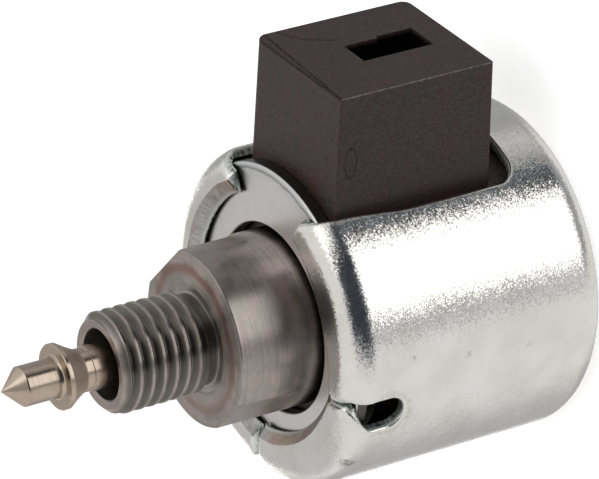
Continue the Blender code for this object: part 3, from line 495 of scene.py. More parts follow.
def can_blank():
    """The flat blank: outline, lips, thickness, rounded sheared edges, and lines to bend it along."""
    bm = bmesh.new()
    outline, lips = blank_outline()
    verts = [bm.verts.new((across, along, 0.0)) for across, along in outline]
    bm.faces.new(verts)
    for tab, (first, last) in enumerate(lips):
        lip_edges = [bm.edges.get(pair) for pair in zip(verts[first:last], verts[first + 1:last])]
        grown = bmesh.ops.extrude_edge_only(bm, edges=lip_edges)
        middle = CAN_RADIUS * TAB_PLACES[tab]
        for vert in grown["geom"]:
            if isinstance(vert, bmesh.types.BMVert):
                radius = outer_radius(vert.co.y)
                vert.co.x = middle + (vert.co.x - middle) * (radius - SWAGE_WIDTHS[tab]) / radius
                vert.co.y += SWAGE_WIDTHS[tab]
    bmesh.ops.recalc_face_normals(bm, faces=bm.faces)
    grown = bmesh.ops.extrude_face_region(bm, geom=bm.faces[:])
    inner = [item for item in grown["geom"] if isinstance(item, bmesh.types.BMVert)]
    bmesh.ops.translate(bm, vec=(0.0, 0.0, -CAN_WALL), verts=inner)

    def on_border(vert):
        """Whether a point is on the seam's sides or the back edge, which stay open."""
        return vert.co.x < WELD or vert.co.x > BLANK_WIDTH - WELD or vert.co.y < WELD

    ends = [face for face in bm.faces if all(on_border(vert) for vert in face.verts)
            and abs(face.normal.z) < 0.5]
    bmesh.ops.delete(bm, geom=ends, context="FACES")
    for face in bm.faces:
        if abs(face.calc_center_median().z + CAN_WALL / 2.0) < CAN_WALL / 4.0:
            face.material_index = SHEARED
        elif face.calc_center_median().z < -CAN_WALL / 2.0:
            face.material_index = INSIDE
    for height, size, segments in ((0.0, SHEAR_ROUNDING, 3), (-CAN_WALL, SHEAR_BURR, 1)):
        rim = [edge for edge in bm.edges if all(abs(vert.co.z - height) < WELD for vert in edge.verts)
               and len(edge.link_faces) == 2
               and any(face.material_index == SHEARED for face in edge.link_faces)
               and any(face.material_index != SHEARED for face in edge.link_faces)]
        bmesh.ops.bevel(bm, geom=rim, offset=size, offset_type="OFFSET", segments=segments,
                        profile=0.5, affect="EDGES", material=-1, clamp_overlap=False)

    def bend_line(place, direction):
        """Cut a line across the blank, along which it can bend."""
        bmesh.ops.bisect_plane(bm, geom=bm.verts[:] + bm.edges[:] + bm.faces[:], dist=WELD / 10.0,
                               plane_co=place, plane_no=direction)

    for column in range(1, CAN_COLUMNS):
        bend_line((BLANK_WIDTH * column / CAN_COLUMNS, 0.0, 0.0), (1.0, 0.0, 0.0))
    rows = [FILLET_RUN * step / FILLET_ROWS for step in range(1, FILLET_ROWS + 1)]
    rows += [WALL_RUN + (FOLD_RUN - WALL_RUN) * step / FOLD_ROWS for step in range(FOLD_ROWS + 1)]
    rows += [FILLET_RUN + (WALL_RUN - FILLET_RUN) * step / WALL_ROWS for step in range(1, WALL_ROWS)]
    rows += [FOLD_RUN + RIM_ROW * step for step in range(1, RIM_ROWS + 1)]
    for row in rows:
        bend_line((0.0, row, 0.0), (0.0, 1.0, 0.0))
    return bm


def roll_up(bm):
    """Bend the flat blank into the can: fillet, wall, folded tabs and swaged lips."""
    for vert in bm.verts:
        across, along, depth = vert.co.x, vert.co.y, -vert.co.z / CAN_WALL
        outer, inner = can_section(along)
        angle = across / CAN_RADIUS
        if along > WALL_RUN:
            tab = nearest_tab(across)
            offset = (across - CAN_RADIUS * TAB_PLACES[tab]) / outer.x
            side = 1 if offset > 0.0 else -1
            lean = TORN_LEAN * min((along - WALL_RUN) / CAN_WALL, 1.0) * depth / outer.x
            share = offset / tab_edge(tab, side, along)
            angle = TAB_PLACES[tab] + offset + side * lean * share ** TORN_LEAN_POWER
            past_lip = along - lip_along(tab, offset)
            if past_lip > 0.0:
                crushed = (CAN_WALL - SWAGED_EDGE) * min(past_lip / SWAGE_WIDTHS[tab], 1.0)
                outer = outer - Vector((0.0, crushed))
        point = outer.lerp(inner, depth)
        vert.co = (point.x * math.cos(angle), -point.x * math.sin(angle), point.y)


def make_can():
    """Drawn steel cup with its window, keyhole slots and rolled, swaged tabs."""
    bm = can_blank()
    for face in bm.faces:
        middle = face.calc_center_median()
        if middle.y > WALL_RUN and face.material_index == OUTSIDE:
            tab = nearest_tab(middle.x)
            offset = (middle.x - CAN_RADIUS * TAB_PLACES[tab]) / outer_radius(middle.y)
            if middle.y > lip_along(tab, offset) - SWAGE_MARGIN:
                face.material_index = SWAGED
    roll_up(bm)
    bmesh.ops.remove_doubles(bm, verts=bm.verts, dist=WELD)
    stray = [face for face in bm.faces if any(edge.is_boundary for edge in face.edges)
             and any(len(edge.link_faces) > 2 for edge in face.edges)]
    bmesh.ops.delete(bm, geom=stray, context="FACES")
    for height, skin in ((0.0, OUTSIDE), (CAN_WALL, INSIDE)):
        ring = [edge for edge in bm.edges if edge.is_boundary
                and all(abs(vert.co.z - height) < WELD for vert in edge.verts)]
        bmesh.ops.edgeloop_fill(bm, edges=ring, mat_nr=skin)
    bmesh.ops.recalc_face_normals(bm, faces=bm.faces)
    looks = [zinc_on_drawn_steel(), zinc_on_sheared_edge(), zinc_inside_can(), zinc_on_swaged_lip()]
    finished("can", bm, "housing", "housing_can", looks)


def make_plate():
    """Flat annular pole plate with a rounded rim and a broken edge round its hole."""
    chamfer = PLATE_HOLE_CHAMFER
    profile = [(PLATE_HOLE, PLATE_LOW.z + chamfer), (PLATE_HOLE + chamfer, PLATE_LOW.z)]
    profile += [(PLATE_RADIUS - chamfer, PLATE_LOW.z), (PLATE_RADIUS, PLATE_LOW.z + chamfer)]
    profile += arc(PLATE_RADIUS - PLATE_EDGE_RADIUS, PLATE_HIGH.z - PLATE_EDGE_RADIUS, PLATE_EDGE_RADIUS,
                   0.0, 90.0, 8)
    profile += [(PLATE_HOLE + chamfer, PLATE_HIGH.z), (PLATE_HOLE, PLATE_HIGH.z - chamfer)]
    bm = turned(profile, TURNED_STEPS)
    finished("plate", bm, "housing", "front_plate", [zinc_on_flat_plate()])


def nose_profile():
    """Turned outline of the nose: flange, wrench body, shoulder, relief, thread blank and bore."""
    groove = SEAL_GROOVE_HALF_WIDTH
    groove_middle = NOSE_FLANGE_RADIUS - SEAL_GROOVE_INSET
    groove_top = NOSE_LOW.z + SEAL_GROOVE_DEPTH
    relief_top = SHOULDER + RELIEF_WIDTH
    floor = SHOULDER - UNDERCUT_DEPTH
    edge = NOSE_EDGE_CHAMFER
    ease, land = 0.05, 0.04
    return [
        (SLEEVE_SEAT, NOSE_LOW.z),
        (groove_middle - groove, NOSE_LOW.z),
        (groove_middle - groove, groove_top),
        (groove_middle + groove, groove_top),
        (groove_middle + groove, NOSE_LOW.z),
        (NOSE_FLANGE_RADIUS, NOSE_LOW.z),
        (NOSE_FLANGE_RADIUS, NOSE_FLANGE_TOP),
        (NOSE_RADIUS, NOSE_FLANGE_TOP),
        (NOSE_RADIUS, SHOULDER - edge),
        (NOSE_RADIUS - 0.3 * edge, SHOULDER - 0.3 * edge),
        (NOSE_RADIUS - edge, SHOULDER),
        (UNDERCUT_RADIUS + ease, SHOULDER),
        (UNDERCUT_RADIUS, SHOULDER - ease),
        (UNDERCUT_RADIUS - 0.1, floor),
        (RELIEF_RADIUS + 0.25, floor),
        (RELIEF_RADIUS + 0.08, SHOULDER - 0.06),
        (RELIEF_RADIUS, SHOULDER + 0.15),
        (RELIEF_RADIUS, relief_top),
        (THREAD_RADIUS, relief_top + THREAD_RADIUS - RELIEF_RADIUS),
        (THREAD_RADIUS, THREAD_END - THREAD_CHAMFER),
        (THREAD_RADIUS - THREAD_CHAMFER + ease, THREAD_END - ease),
        (THREAD_RADIUS - THREAD_CHAMFER - land, THREAD_END),
        (BORE_RADIUS + BORE_CHAMFER + land, THREAD_END),
        (BORE_RADIUS + BORE_CHAMFER - land, THREAD_END - ease),
        (BORE_RADIUS, THREAD_END - BORE_CHAMFER - ease),
        (BORE_RADIUS, NOSE_POCKET_TOP),
        (SLEEVE_INSIDE, NOSE_POCKET_TOP),
        (SLEEVE_INSIDE, SLEEVE_END),
        (SLEEVE_SEAT, SLEEVE_END),
    ]


def thread_tool():
    """What the threading tool takes out: a V with a round nose, wound down to the relief."""
    root = THREAD_ROOT
    crest = THREAD_RADIUS + 0.1
    mouth = THREAD_ROOT_HALF_WIDTH + (crest - root) * math.tan(THREAD_FLANK)
    half = [(root, 0.05), (root + 0.04, THREAD_ROOT_HALF_WIDTH), (crest, mouth)]
    top = THREAD_END + 0.9 * THREAD_PITCH
    turns = (top - SHOULDER - RELIEF_WIDTH) / THREAD_PITCH
    steps = int(turns * TURNED_STEPS)
    bm = bmesh.new()
    outline = [(radius, top + away) for radius, away in half]
    outline += [(radius, top - away) for radius, away in reversed(half)]
    face = bm.faces.new([bm.verts.new((radius, 0.0, height)) for radius, height in outline])
    bmesh.ops.spin(bm, geom=[face], axis=(0.0, 0.0, 1.0), cent=(0.0, 0.0, 0.0),
                   dvec=(0.0, 0.0, -turns * THREAD_PITCH / steps), angle=math.tau * turns, steps=steps,
                   use_merge=False)
    bmesh.ops.recalc_face_normals(bm, faces=bm.faces)
    return bm


def make_nose():
    """Turned steel nose with two wrench flats and a cut thread."""
    tools = []
    for index, depth in enumerate(FLAT_DEPTHS):
        place = Matrix.Rotation(math.radians(FLAT_ANGLE + 180.0 * index), 4, "Z")
        inner, outer, side = NOSE_RADIUS - depth, 2.0 * NOSE_RADIUS, NOSE_RADIUS
        outline = [(inner, -side), (outer, -side), (outer, side), (inner, side)]
        tools.append(prism(outline, place, FLAT_BOTTOM, THREAD_END - THREAD_RADIUS))
    tools.append(thread_tool())
    bm = shaped(turned(nose_profile(), TURNED_STEPS), tools)
    finished("nose", bm, "housing", "nose_body", [turned_steel()])


def make_needle():
    """Turned stainless needle: cone, tip, filleted collar, flared neck, shaft and tail."""
    collar_rear = COLLAR_FRONT - COLLAR_LAND
    neck_top = collar_rear - COLLAR_FLARE
    edge = COLLAR_EDGE
    profile = [
        (0.0, NEEDLE_LOW.z),
        (TAIL_RADIUS, NEEDLE_LOW.z),
        (TAIL_RADIUS, SHAFT_END),
        (SHAFT_RADIUS, SHAFT_END),
        (SHAFT_RADIUS, neck_top - COLLAR_NECK),
        (NECK_RADIUS, neck_top - COLLAR_NECK + 0.04),
        (NECK_RADIUS, neck_top),
    ]
    for index in range(1, 10):
        share = index / 10.0
        radius = NECK_RADIUS + (COLLAR_RADIUS - NECK_RADIUS) * share ** COLLAR_FLARE_POWER
        profile.append((radius, neck_top + COLLAR_FLARE * share))
    profile += [(COLLAR_RADIUS - edge, collar_rear - edge), (COLLAR_RADIUS, collar_rear)]
    profile += [(COLLAR_RADIUS, COLLAR_FRONT - edge), (COLLAR_RADIUS - edge, COLLAR_FRONT)]
    profile += arc(TIP_RADIUS + COLLAR_FILLET, COLLAR_FRONT + COLLAR_FILLET, COLLAR_FILLET, 270.0, 180.0, 6)
    cone_base = NEEDLE_TIP - CONE_LENGTH
    profile += [(TIP_RADIUS, cone_base - 0.05), (TIP_RADIUS - 0.03, cone_base + 0.02), (0.0, NEEDLE_TIP)]
    bm = turned(profile, TURNED_STEPS)
    finished("needle", bm, "plunger", "needle_plunger", [turned_stainless()])


# The facet along the block's front top edge runs out towards the near side.
FACET_SLANT = (FACET_INSETS[1] - FACET_INSETS[0]) / (2.0 * BLOCK_HALF_WIDTH)
FACET_LINE = BLOCK_FRONT - BLOCK_DRAFT - sum(FACET_INSETS) / 2.0


def tower():
    """Tapered connector tower with soft far corners and a slanting facet on its front top edge."""
    bottom = FOOT_INSIDE - TOWER_OVERLAP
    rear = BLOCK_FRONT - 2.0 * BLOCK_DRAFT - BLOCK_LENGTH
    size = Vector((BLOCK_TOP - bottom, 2.0 * (BLOCK_HALF_WIDTH + BLOCK_DRAFT), BLOCK_FRONT - rear))
    middle = Vector(((BLOCK_TOP + bottom) / 2.0, 0.0, (BLOCK_FRONT + rear) / 2.0))
    bm = bmesh.new()
    place = Matrix.Translation(middle) @ Matrix.Diagonal((*size, 1.0))
    bmesh.ops.create_cube(bm, size=1.0, matrix=place)
    top = [vert for vert in bm.verts if vert.co.x > middle.x]
    taper = (1.0, 1.0 - 2.0 * BLOCK_DRAFT / size.y, 1.0 - 2.0 * BLOCK_DRAFT / size.z)
    bmesh.ops.scale(bm, vec=taper, space=Matrix.Translation(-middle), verts=top)

    def upright(side):
        """The edges that run out from the can on one side of the tower."""
        return [edge for edge in bm.edges if abs(edge.verts[0].co.x - edge.verts[1].co.x) > size.x / 2.0
                and edge.verts[0].co.y * side > 0.0]

    for side, width, segments in ((1.0, BLOCK_SOFT_EDGE, 6), (-1.0, BLOCK_FINE_EDGE, 3)):
        bmesh.ops.bevel(bm, geom=upright(side), offset=width, offset_type="OFFSET", segments=segments,
                        profile=0.5, affect="EDGES", material=-1)
    cut = bmesh.ops.bisect_plane(bm, geom=bm.verts[:] + bm.edges[:] + bm.faces[:], dist=WELD,
                                 clear_outer=True, plane_co=(BLOCK_TOP, 0.0, FACET_LINE),
                                 plane_no=(1.0, FACET_FALL * FACET_SLANT, FACET_FALL))
    rim = [item for item in cut["geom_cut"] if isinstance(item, bmesh.types.BMEdge)]
    bmesh.ops.edgeloop_fill(bm, edges=rim)
    bmesh.ops.recalc_face_normals(bm, faces=bm.faces)
    return bm


def socket_outline():
    """Mouth of the terminal socket: moulded straight on the near side, ragged on the far one."""
    rough = random.Random(7)
    middle = (SOCKET_REAR + SOCKET_FRONT) / 2.0
    far_side = [(SOCKET_FAR + SOCKET_STEP, SOCKET_REAR), (SOCKET_FAR + SOCKET_STEP, middle)]
    for index in range(SOCKET_NICKS):
        height = middle + (SOCKET_FRONT - middle) * (index + 0.4) / SOCKET_NICKS
        far_side.append((SOCKET_FAR + rough.uniform(*NICK_DEPTHS), height))
    far_side.append((SOCKET_FAR, SOCKET_FRONT))
    return [(SOCKET_NEAR, SOCKET_REAR), *far_side, (SOCKET_NEAR, SOCKET_FRONT)]


def make_block():
    """Moulded connector block with the curved foot that is trapped under the can."""
    foot = arc(0.0, 0.0, FOOT_OUTSIDE, -FOOT_HALF_ANGLE, FOOT_HALF_ANGLE, 40)
    foot += arc(0.0, 0.0, FOOT_INSIDE, FOOT_HALF_ANGLE, -FOOT_HALF_ANGLE, 40)
    bm = shaped(tower(), [prism(foot, Matrix(), FOOT_REAR, BLOCK_FRONT)], "UNION")
    rear = FOOT_REAR - CUT_PAST
    saddle = [(0.0, rear), (FOOT_INSIDE, rear), (FOOT_INSIDE, SHOULDER), (0.0, SHOULDER)]
    outwards = Matrix(((0.0, 0.0, 1.0), (1.0, 0.0, 0.0), (0.0, 1.0, 0.0))).to_4x4()
    socket = prism(socket_outline(), outwards, SOCKET_FLOOR, BLOCK_TOP + CUT_PAST)
    drill = arc(LEAD_HOLE_Y, (SOCKET_REAR + SOCKET_FRONT) / 2.0, LEAD_HOLE_RADIUS, 0.0, 345.0, 23)
    hole = prism(drill, outwards, FOOT_INSIDE / 2.0, SOCKET_FLOOR + CUT_PAST)
    bm = shaped(bm, [turned(saddle, TURNED_STEPS), socket, hole])
    finished("block", bm, "housing", "connector_block", [moulded_phenolic()])


def new_look(name):
    """A material with its node tree, its shader and the object's own coordinates."""
    look = bpy.data.materials.new(name)
    look.use_nodes = True
    tree = look.node_tree
    shader = tree.nodes["Principled BSDF"]
    place = add(tree, "TexCoord").outputs["Object"]
    return look, tree, shader, place


def give_finish(tree, shader, base, rough, metallic, relief=None, depth=0.0, **others):
    """Connect a finish to its shader, with the depth of its fine relief in millimetres."""
    inputs = {"Base Color": base, "Roughness": rough, "Metallic": metallic, **others}
    if relief is not None:
        inputs["Normal"] = add(tree, "Bump", {"Height": relief, "Strength": 1.0, "Distance": depth * MM})
    connect(tree, shader, inputs)


def together(tree, shares):
    """The product of several shares, which is high only where they all are."""
    product = shares[0]
    for share in shares[1:]:
        product = add(tree, "Math", {0: product, 1: share}, operation="MULTIPLY")
    return product


def painted(tree, base, over, *shares):
    """The base with another colour over it where all the shares are high."""
    return add(tree, "Mix", {"Factor": together(tree, shares), "A": base, "B": over}, data_type="RGBA")


def laid_over(tree, base, over, value, start=0.0, end=1.0, strength=1.0):
    """The base with another colour over it, which grows to its strength as a value goes from start to end."""
    share = add(tree, "MapRange", {"Value": value, "From Min": start, "From Max": end, "To Max": strength})
    return painted(tree, base, over, share)


def distance_from(tree, value, middle):
    """How far a value lies from a middle one, to either side."""
    offset = add(tree, "Math", {0: value, 1: middle}, operation="SUBTRACT")
    return add(tree, "Math", {0: offset}, operation="ABSOLUTE")


def round_the_axis(tree, place):
    """Way round the part at the can's radius, distance from its axis, and height, all in metres."""
    parts = add(tree, "SeparateXYZ", {"Vector": place})
    angle = add(tree, "Math", {0: parts.outputs["Y"], 1: parts.outputs["X"]}, operation="ARCTAN2")
    way = add(tree, "Math", {0: angle, 1: -CAN_RADIUS * MM}, operation="MULTIPLY")
    flat = add(tree, "CombineXYZ", {"X": parts.outputs["X"], "Y": parts.outputs["Y"]})
    radius = add(tree, "VectorMath", {0: flat}, operation="LENGTH").outputs["Value"]
    return way, radius, parts.outputs["Z"]


def streaks_on(tree, place, stretch, pattern):
    """Streaks in the directions round the axis, out from it and along it, by how fast each one changes."""
    way, radius, height = round_the_axis(tree, place)
    wall = add(tree, "CombineXYZ", {"X": way, "Y": radius, "Z": height})
    stretched = add(tree, "VectorMath", {0: wall, 1: stretch}, operation="MULTIPLY")
    return add(tree, "TexNoise", {"Vector": stretched, **pattern})


def turning_marks(tree, place):
    """Fine rings that a lathe tool leaves: drawn 0.25 mm apart, since real ones would not show."""
    way, radius, height = round_the_axis(tree, place)
    along = add(tree, "Math", {0: radius, 1: height}, operation="ADD")
    line = add(tree, "CombineXYZ", {"X": way, "Z": along})
    stretched = add(tree, "VectorMath", {0: line, 1: (0.02, 0.0, 1.0)}, operation="MULTIPLY")
    return add(tree, "TexNoise", {"Vector": stretched, "Scale": scale_for(0.25), "Detail": 2.0})


def spread_across_rings(tree, shader, place, amount):
    """Draw reflections out across the lathe's rings, as the fine grooves of a turned face do."""
    around = add(tree, "VectorMath", {0: place, 1: (0.0, 0.0, 1.0)}, operation="CROSS_PRODUCT")
    around = add(tree, "VectorMath", {0: around}, operation="NORMALIZE")
    connect(tree, shader, {"Tangent": around, "Anisotropic": amount, "Anisotropic Rotation": 0.25})


def patchy_finish(name, size, detail, tones, gloss, metallic, span=(0.0, 1.0), relief=None):
    """A plain finish that drifts between two tones and two roughnesses, in patches sized in millimetres."""
    look, tree, shader, place = new_look(name)
    patches = add(tree, "TexNoise", {"Vector": place, "Scale": scale_for(size), "Detail": detail})
    base = laid_over(tree, colour(tones[0]), colour(tones[1]), patches, *span)
    rough = add(tree, "MapRange", {"Value": patches, "To Min": gloss[0], "To Max": gloss[1]})
    if relief is None:
        give_finish(tree, shader, base, rough, metallic)
    else:
        give_finish(tree, shader, base, rough, metallic, patches, relief)
    return look


def point_on_can(angle, height):
    """A point on the can's wall in metres, from an angle in degrees and a height in millimetres."""
    turn = math.radians(angle)
    return Vector((CAN_RADIUS * math.cos(turn), -CAN_RADIUS * math.sin(turn), height)) * MM


# Marks on the can: angle, height, inner and outer radius of the mark, its colour and its strength.
# The first two are halos round the ends of the outer slots.
SLOT_END = CAN_TOP - SLOT_DEPTH + SLOT_WIDTHS[0] / 2.0
CAN_MARKS = (
    (SLOT_ANGLES[0], SLOT_END, 2.2, 2.7, "#A3968B", 0.35),
    (SLOT_ANGLES[2], SLOT_END, 2.2, 2.7, "#A3968B", 0.35),
    (36.3, 24.3, 0.0, 0.75, "#B3ADA6", 0.8),
    (123.0, 27.0, 0.0, 0.9, "#5B5954", 0.8),
    (81.4, 21.8, 0.0, 0.35, "#8F867B", 0.8),
    (85.5, 15.8, 0.0, 0.45, "#8F8A84", 0.6),
    (88.0, 9.2, 0.0, 0.4, "#8F8A84", 0.5),
)


def zinc_on_drawn_steel():
    """Bright zinc plate on a drawn can: a pale mirror that a fine grain breaks into sparks."""
    look, tree, shader, place = new_look("zinc_plate_on_drawn_steel")
    grain = add(tree, "TexNoise", {"Vector": place, "Scale": scale_for(0.2), "Detail": 2.0, "Roughness": 0.6})
    # The plate's crystals are drawn 0.1 mm across, since real ones would be too fine to show.
    crystals = add(tree, "TexVoronoi", {"Vector": place, "Scale": scale_for(0.1)}).outputs["Color"]
    clouds = add(tree, "TexNoise", {"Vector": place, "Scale": scale_for(4.0), "Detail": 3.0})
    base = laid_over(tree, colour("#D9D8D4"), colour("#E4E3E1"), clouds, 0.35, 0.65)
    base = laid_over(tree, base, colour("#A9AFB8"), grain, 0.52, 0.70, 0.12)
    uneven = add(tree, "TexNoise", {"Vector": place, "Scale": scale_for(0.6), "Detail": 2.0})
    broken = add(tree, "MapRange", {"Value": grain, "From Min": 0.42, "From Max": 0.56, "To Min": 0.3})
    for angle, height, inner, outer, tint, strength in CAN_MARKS:
        reach = add(tree, "VectorMath", {0: place, 1: point_on_can(angle, height)}, operation="DISTANCE")
        reach = reach.outputs["Value"]
        ragged = add(tree, "Math", {0: uneven, 1: 1.2 * MM, 2: reach}, operation="MULTIPLY_ADD")
        ragged = add(tree, "Math", {0: ragged, 1: 0.6 * MM}, operation="SUBTRACT")
        within = add(tree, "MapRange", {"Value": ragged, "From Min": (outer - 0.4) * MM,
                                        "From Max": outer * MM, "To Min": strength, "To Max": 0.0})
        beyond = add(tree, "MapRange", {"Value": ragged, "From Min": (inner - 0.3) * MM,
                                        "From Max": inner * MM})
        base = painted(tree, base, colour(tint), within, beyond, broken)
    rough = add(tree, "MapRange", {"Value": clouds, "From Min": 0.3, "From Max": 0.7, "To Min": 0.15,
                                   "To Max": 0.21})
    tilt = add(tree, "VectorMath", {0: crystals, 1: (0.5, 0.5, 0.5)}, operation="SUBTRACT")
    straight = add(tree, "NewGeometry").outputs["Normal"]
    facing = add(tree, "VectorMath", {0: tilt, 1: (0.15, 0.15, 0.15), 2: straight}, operation="MULTIPLY_ADD")
    facing = add(tree, "VectorMath", {0: facing}, operation="NORMALIZE")
    bump = add(tree, "Bump", {"Height": grain, "Strength": 1.0, "Distance": 0.003 * MM, "Normal": facing})
    give_finish(tree, shader, base, rough, 1.0, Normal=bump)
    return look


def zinc_on_sheared_edge():
    """Zinc on torn slot walls: dark green and streaky, and bright where the edge rolls over."""
    look, tree, shader, place = new_look("zinc_plate_on_sheared_edge")
    streaks = streaks_on(tree, place, (1.0, 0.25, 1.0),
                         {"Scale": scale_for(0.35), "Detail": 3.0, "Roughness": 0.65})
    base = laid_over(tree, colour("#47524D"), colour("#C3CAC6"), streaks, 0.42, 0.60)
    rough = add(tree, "MapRange", {"Value": streaks, "From Min": 0.4, "From Max": 0.6, "To Min": 0.42,
                                   "To Max": 0.16})
    _, radius, height = round_the_axis(tree, place)
    past_fold = []
    for value, centre in ((radius, FOLD_CENTRE), (height, CAN_TOP - FOLD_RADIUS)):
        past = add(tree, "Math", {0: value, 1: centre * MM}, operation="SUBTRACT")
        past_fold.append(add(tree, "Math", {0: past, 1: 0.0}, operation="MAXIMUM"))
    from_fold = add(tree, "CombineXYZ", {"X": past_fold[0], "Y": past_fold[1]})
    out = add(tree, "VectorMath", {0: from_fold}, operation="LENGTH").outputs["Value"]
    out = add(tree, "Math", {0: streaks, 1: 0.5 * MM, 2: out}, operation="MULTIPLY_ADD")
    skin = (FOLD_RADIUS - 0.30) * MM
    base = laid_over(tree, base, colour("#DCE0DD"), out, skin, skin + 0.25 * MM)
    give_finish(tree, shader, base, rough, 0.65, streaks, 0.04)
    return look


def zinc_inside_can():
    """Thin zinc inside the can, where little plate is thrown: brownish and dull, and painted dark as shade.
    """
    # Painted shade: the dark tones inside the can stand partly for shade, over thin dull plate.
    return patchy_finish("thin_zinc_and_painted_shade_inside_can", 1.5, 4.0, ("#4A3F38", "#7D6F64"), (0.35, 0.55), 1.0)


def zinc_on_swaged_lip():
    """Lip crushed by the swaging tool: lilac-grey to brown, rough, with streaks towards the axis."""
    look, tree, shader, place = new_look("zinc_plate_swaged")
    streaks = streaks_on(tree, place, (1.0, 0.3, 0.0),
                         {"Scale": scale_for(0.28), "Detail": 3.0, "Roughness": 0.7, "Distortion": 0.3})
    stains = add(tree, "TexNoise", {"Vector": place, "Scale": scale_for(5.0), "Detail": 2.0})
    dark = laid_over(tree, colour("#8C8A8E"), colour("#7B685C"), stains, 0.42, 0.56)
    light = laid_over(tree, colour("#C9C6C6"), colour("#C0AFA3"), stains, 0.42, 0.56)
    base = laid_over(tree, dark, light, streaks, 0.30, 0.80)
    height = add(tree, "SeparateXYZ", {"Vector": place}).outputs["Z"]
    lowest = (CAN_TOP - CAN_WALL + SWAGED_EDGE) * MM
    base = laid_over(tree, base, colour("#C5CBC7"), height, lowest + 0.22 * MM, lowest)
    give_finish(tree, shader, base, 0.36, 1.0, streaks, 0.02)
    return look


def zinc_on_flat_plate():
    """Zinc plate on a blanked flat plate: even, soft and lilac, with a green tint at its edges and painted
    shade in its hole.
    """
    look, tree, shader, place = new_look("zinc_plate_on_flat_plate")
    radius = round_the_axis(tree, place)[1]
    clouds = add(tree, "TexNoise", {"Vector": place, "Scale": scale_for(1.6), "Detail": 3.0})
    base = laid_over(tree, colour("#D6D4D7"), colour("#E6E2DE"), clouds)
    rim, hole = PLATE_RADIUS * MM, PLATE_HOLE * MM
    wavy = add(tree, "Math", {0: clouds, 1: 1.6 * MM, 2: radius}, operation="MULTIPLY_ADD")
    base = laid_over(tree, base, colour("#A5B2B8"), wavy, rim - 0.6 * MM, rim + 0.6 * MM, 0.4)
    ragged = add(tree, "Math", {0: clouds, 1: 0.4 * MM, 2: radius}, operation="MULTIPLY_ADD")
    off_line = distance_from(tree, ragged, rim - 0.35 * MM)
    base = laid_over(tree, base, colour("#5F666B"), off_line, 0.18 * MM, 0.03 * MM, 0.6)
    base = laid_over(tree, base, colour("#55524F"), radius, rim - 0.04 * MM, rim - 0.01 * MM)
    # Painted shade: the wall of the plate's hole is painted dark.
    base = laid_over(tree, base, colour("#3B332F"), radius, hole + 0.06 * MM, hole + 0.02 * MM, 0.8)
    grain = add(tree, "TexNoise", {"Vector": place, "Scale": scale_for(0.25), "Detail": 1.0})
    give_finish(tree, shader, base, 0.3, 1.0, grain, 0.005)
    return look


def turned_steel():
    """Free-cutting steel off the lathe, oiled: grey-brown with tool rings, with painted shade in the thread
    and under the plate.
    """
    look, tree, shader, place = new_look("turned_steel")
    _, radius, height = round_the_axis(tree, place)
    rings = turning_marks(tree, place)
    clouds = add(tree, "TexNoise", {"Vector": place, "Scale": scale_for(1.8), "Detail": 4.0,
                                    "Roughness": 0.6})
    base = laid_over(tree, colour("#98958F"), colour("#AFA39F"), clouds, 0.38, 0.62)
    tone = add(tree, "MapRange", {"Value": rings, "From Min": 0.3, "From Max": 0.7, "To Min": 0.88,
                                  "To Max": 1.12})
    base = add(tree, "VectorMath", {0: base, "Scale": tone}, operation="SCALE")

    # Painted shade: the thread's grooves are painted darker, from the shoulder up to the end chamfer.
    shoulder, crest, tip = SHOULDER * MM, THREAD_RADIUS * MM, THREAD_END * MM
    past_shoulder = add(tree, "MapRange", {"Value": height, "From Min": shoulder - 0.02 * MM,
                                           "From Max": shoulder + 0.02 * MM})
    depth = add(tree, "MapRange", {"Value": radius, "From Min": crest - 0.14 * MM,
                                   "From Max": crest - 0.04 * MM, "To Min": 0.9, "To Max": 0.0})
    before_end = add(tree, "MapRange", {"Value": height, "From Min": tip - 0.45 * MM,
                                        "From Max": tip - 0.15 * MM, "To Min": 1.0, "To Max": 0.0})
    base = painted(tree, base, colour("#6A6862"), past_shoulder, depth, before_end)
    base = laid_over(tree, base, colour("#A3948F"), height, tip - 0.3 * MM, tip - 0.1 * MM, 0.6)

    # Rust where the sealing washer sat: a ring on the shoulder, strongest on one side.
    across = add(tree, "SeparateXYZ", {"Vector": place}).outputs["X"]
    ragged = add(tree, "Math", {0: clouds, 1: 0.9 * MM, 2: radius}, operation="MULTIPLY_ADD")
    off_ring = distance_from(tree, ragged, RUST_RING_RADIUS * MM)
    rust = add(tree, "MapRange", {"Value": off_ring, "From Min": 0.15 * MM, "From Max": 0.75 * MM,
                                  "To Min": 1.0, "To Max": 0.0}, interpolation_type="SMOOTHSTEP")
    side = add(tree, "MapRange", {"Value": across, "From Min": -4.0 * MM, "From Max": 5.0 * MM,
                                  "To Min": 0.35, "To Max": 0.6})
    flat = add(tree, "MapRange", {"Value": height, "From Min": shoulder - 0.2 * MM,
                                  "From Max": shoulder - 0.05 * MM})
    base = painted(tree, base, colour("#845042"), rust, side, flat)

    # Painted shade: the nose is painted dark in the gap under the plate's hole.
    gap_top = PLATE_HIGH.z * MM
    base = laid_over(tree, base, colour("#2E2724"), height, gap_top, gap_top - 0.5 * MM, 0.85)

    rough = add(tree, "MapRange", {"Value": clouds, "From Min": 0.3, "From Max": 0.7, "To Min": 0.29,
                                   "To Max": 0.37})
    outside = add(tree, "MapRange", {"Value": radius, "From Min": crest + 0.1 * MM,
                                     "From Max": crest + 0.2 * MM})
    dull = add(tree, "Math", {0: past_shoulder, 1: outside}, operation="MULTIPLY")
    rough = add(tree, "Math", {0: dull, 1: 0.2, 2: rough}, operation="MULTIPLY_ADD")
    amount = add(tree, "MapRange", {"Value": flat, "To Min": 0.35, "To Max": 0.9})
    spread_across_rings(tree, shader, place, amount)
    give_finish(tree, shader, base, rough, 1.0, rings, 0.009)
    return look


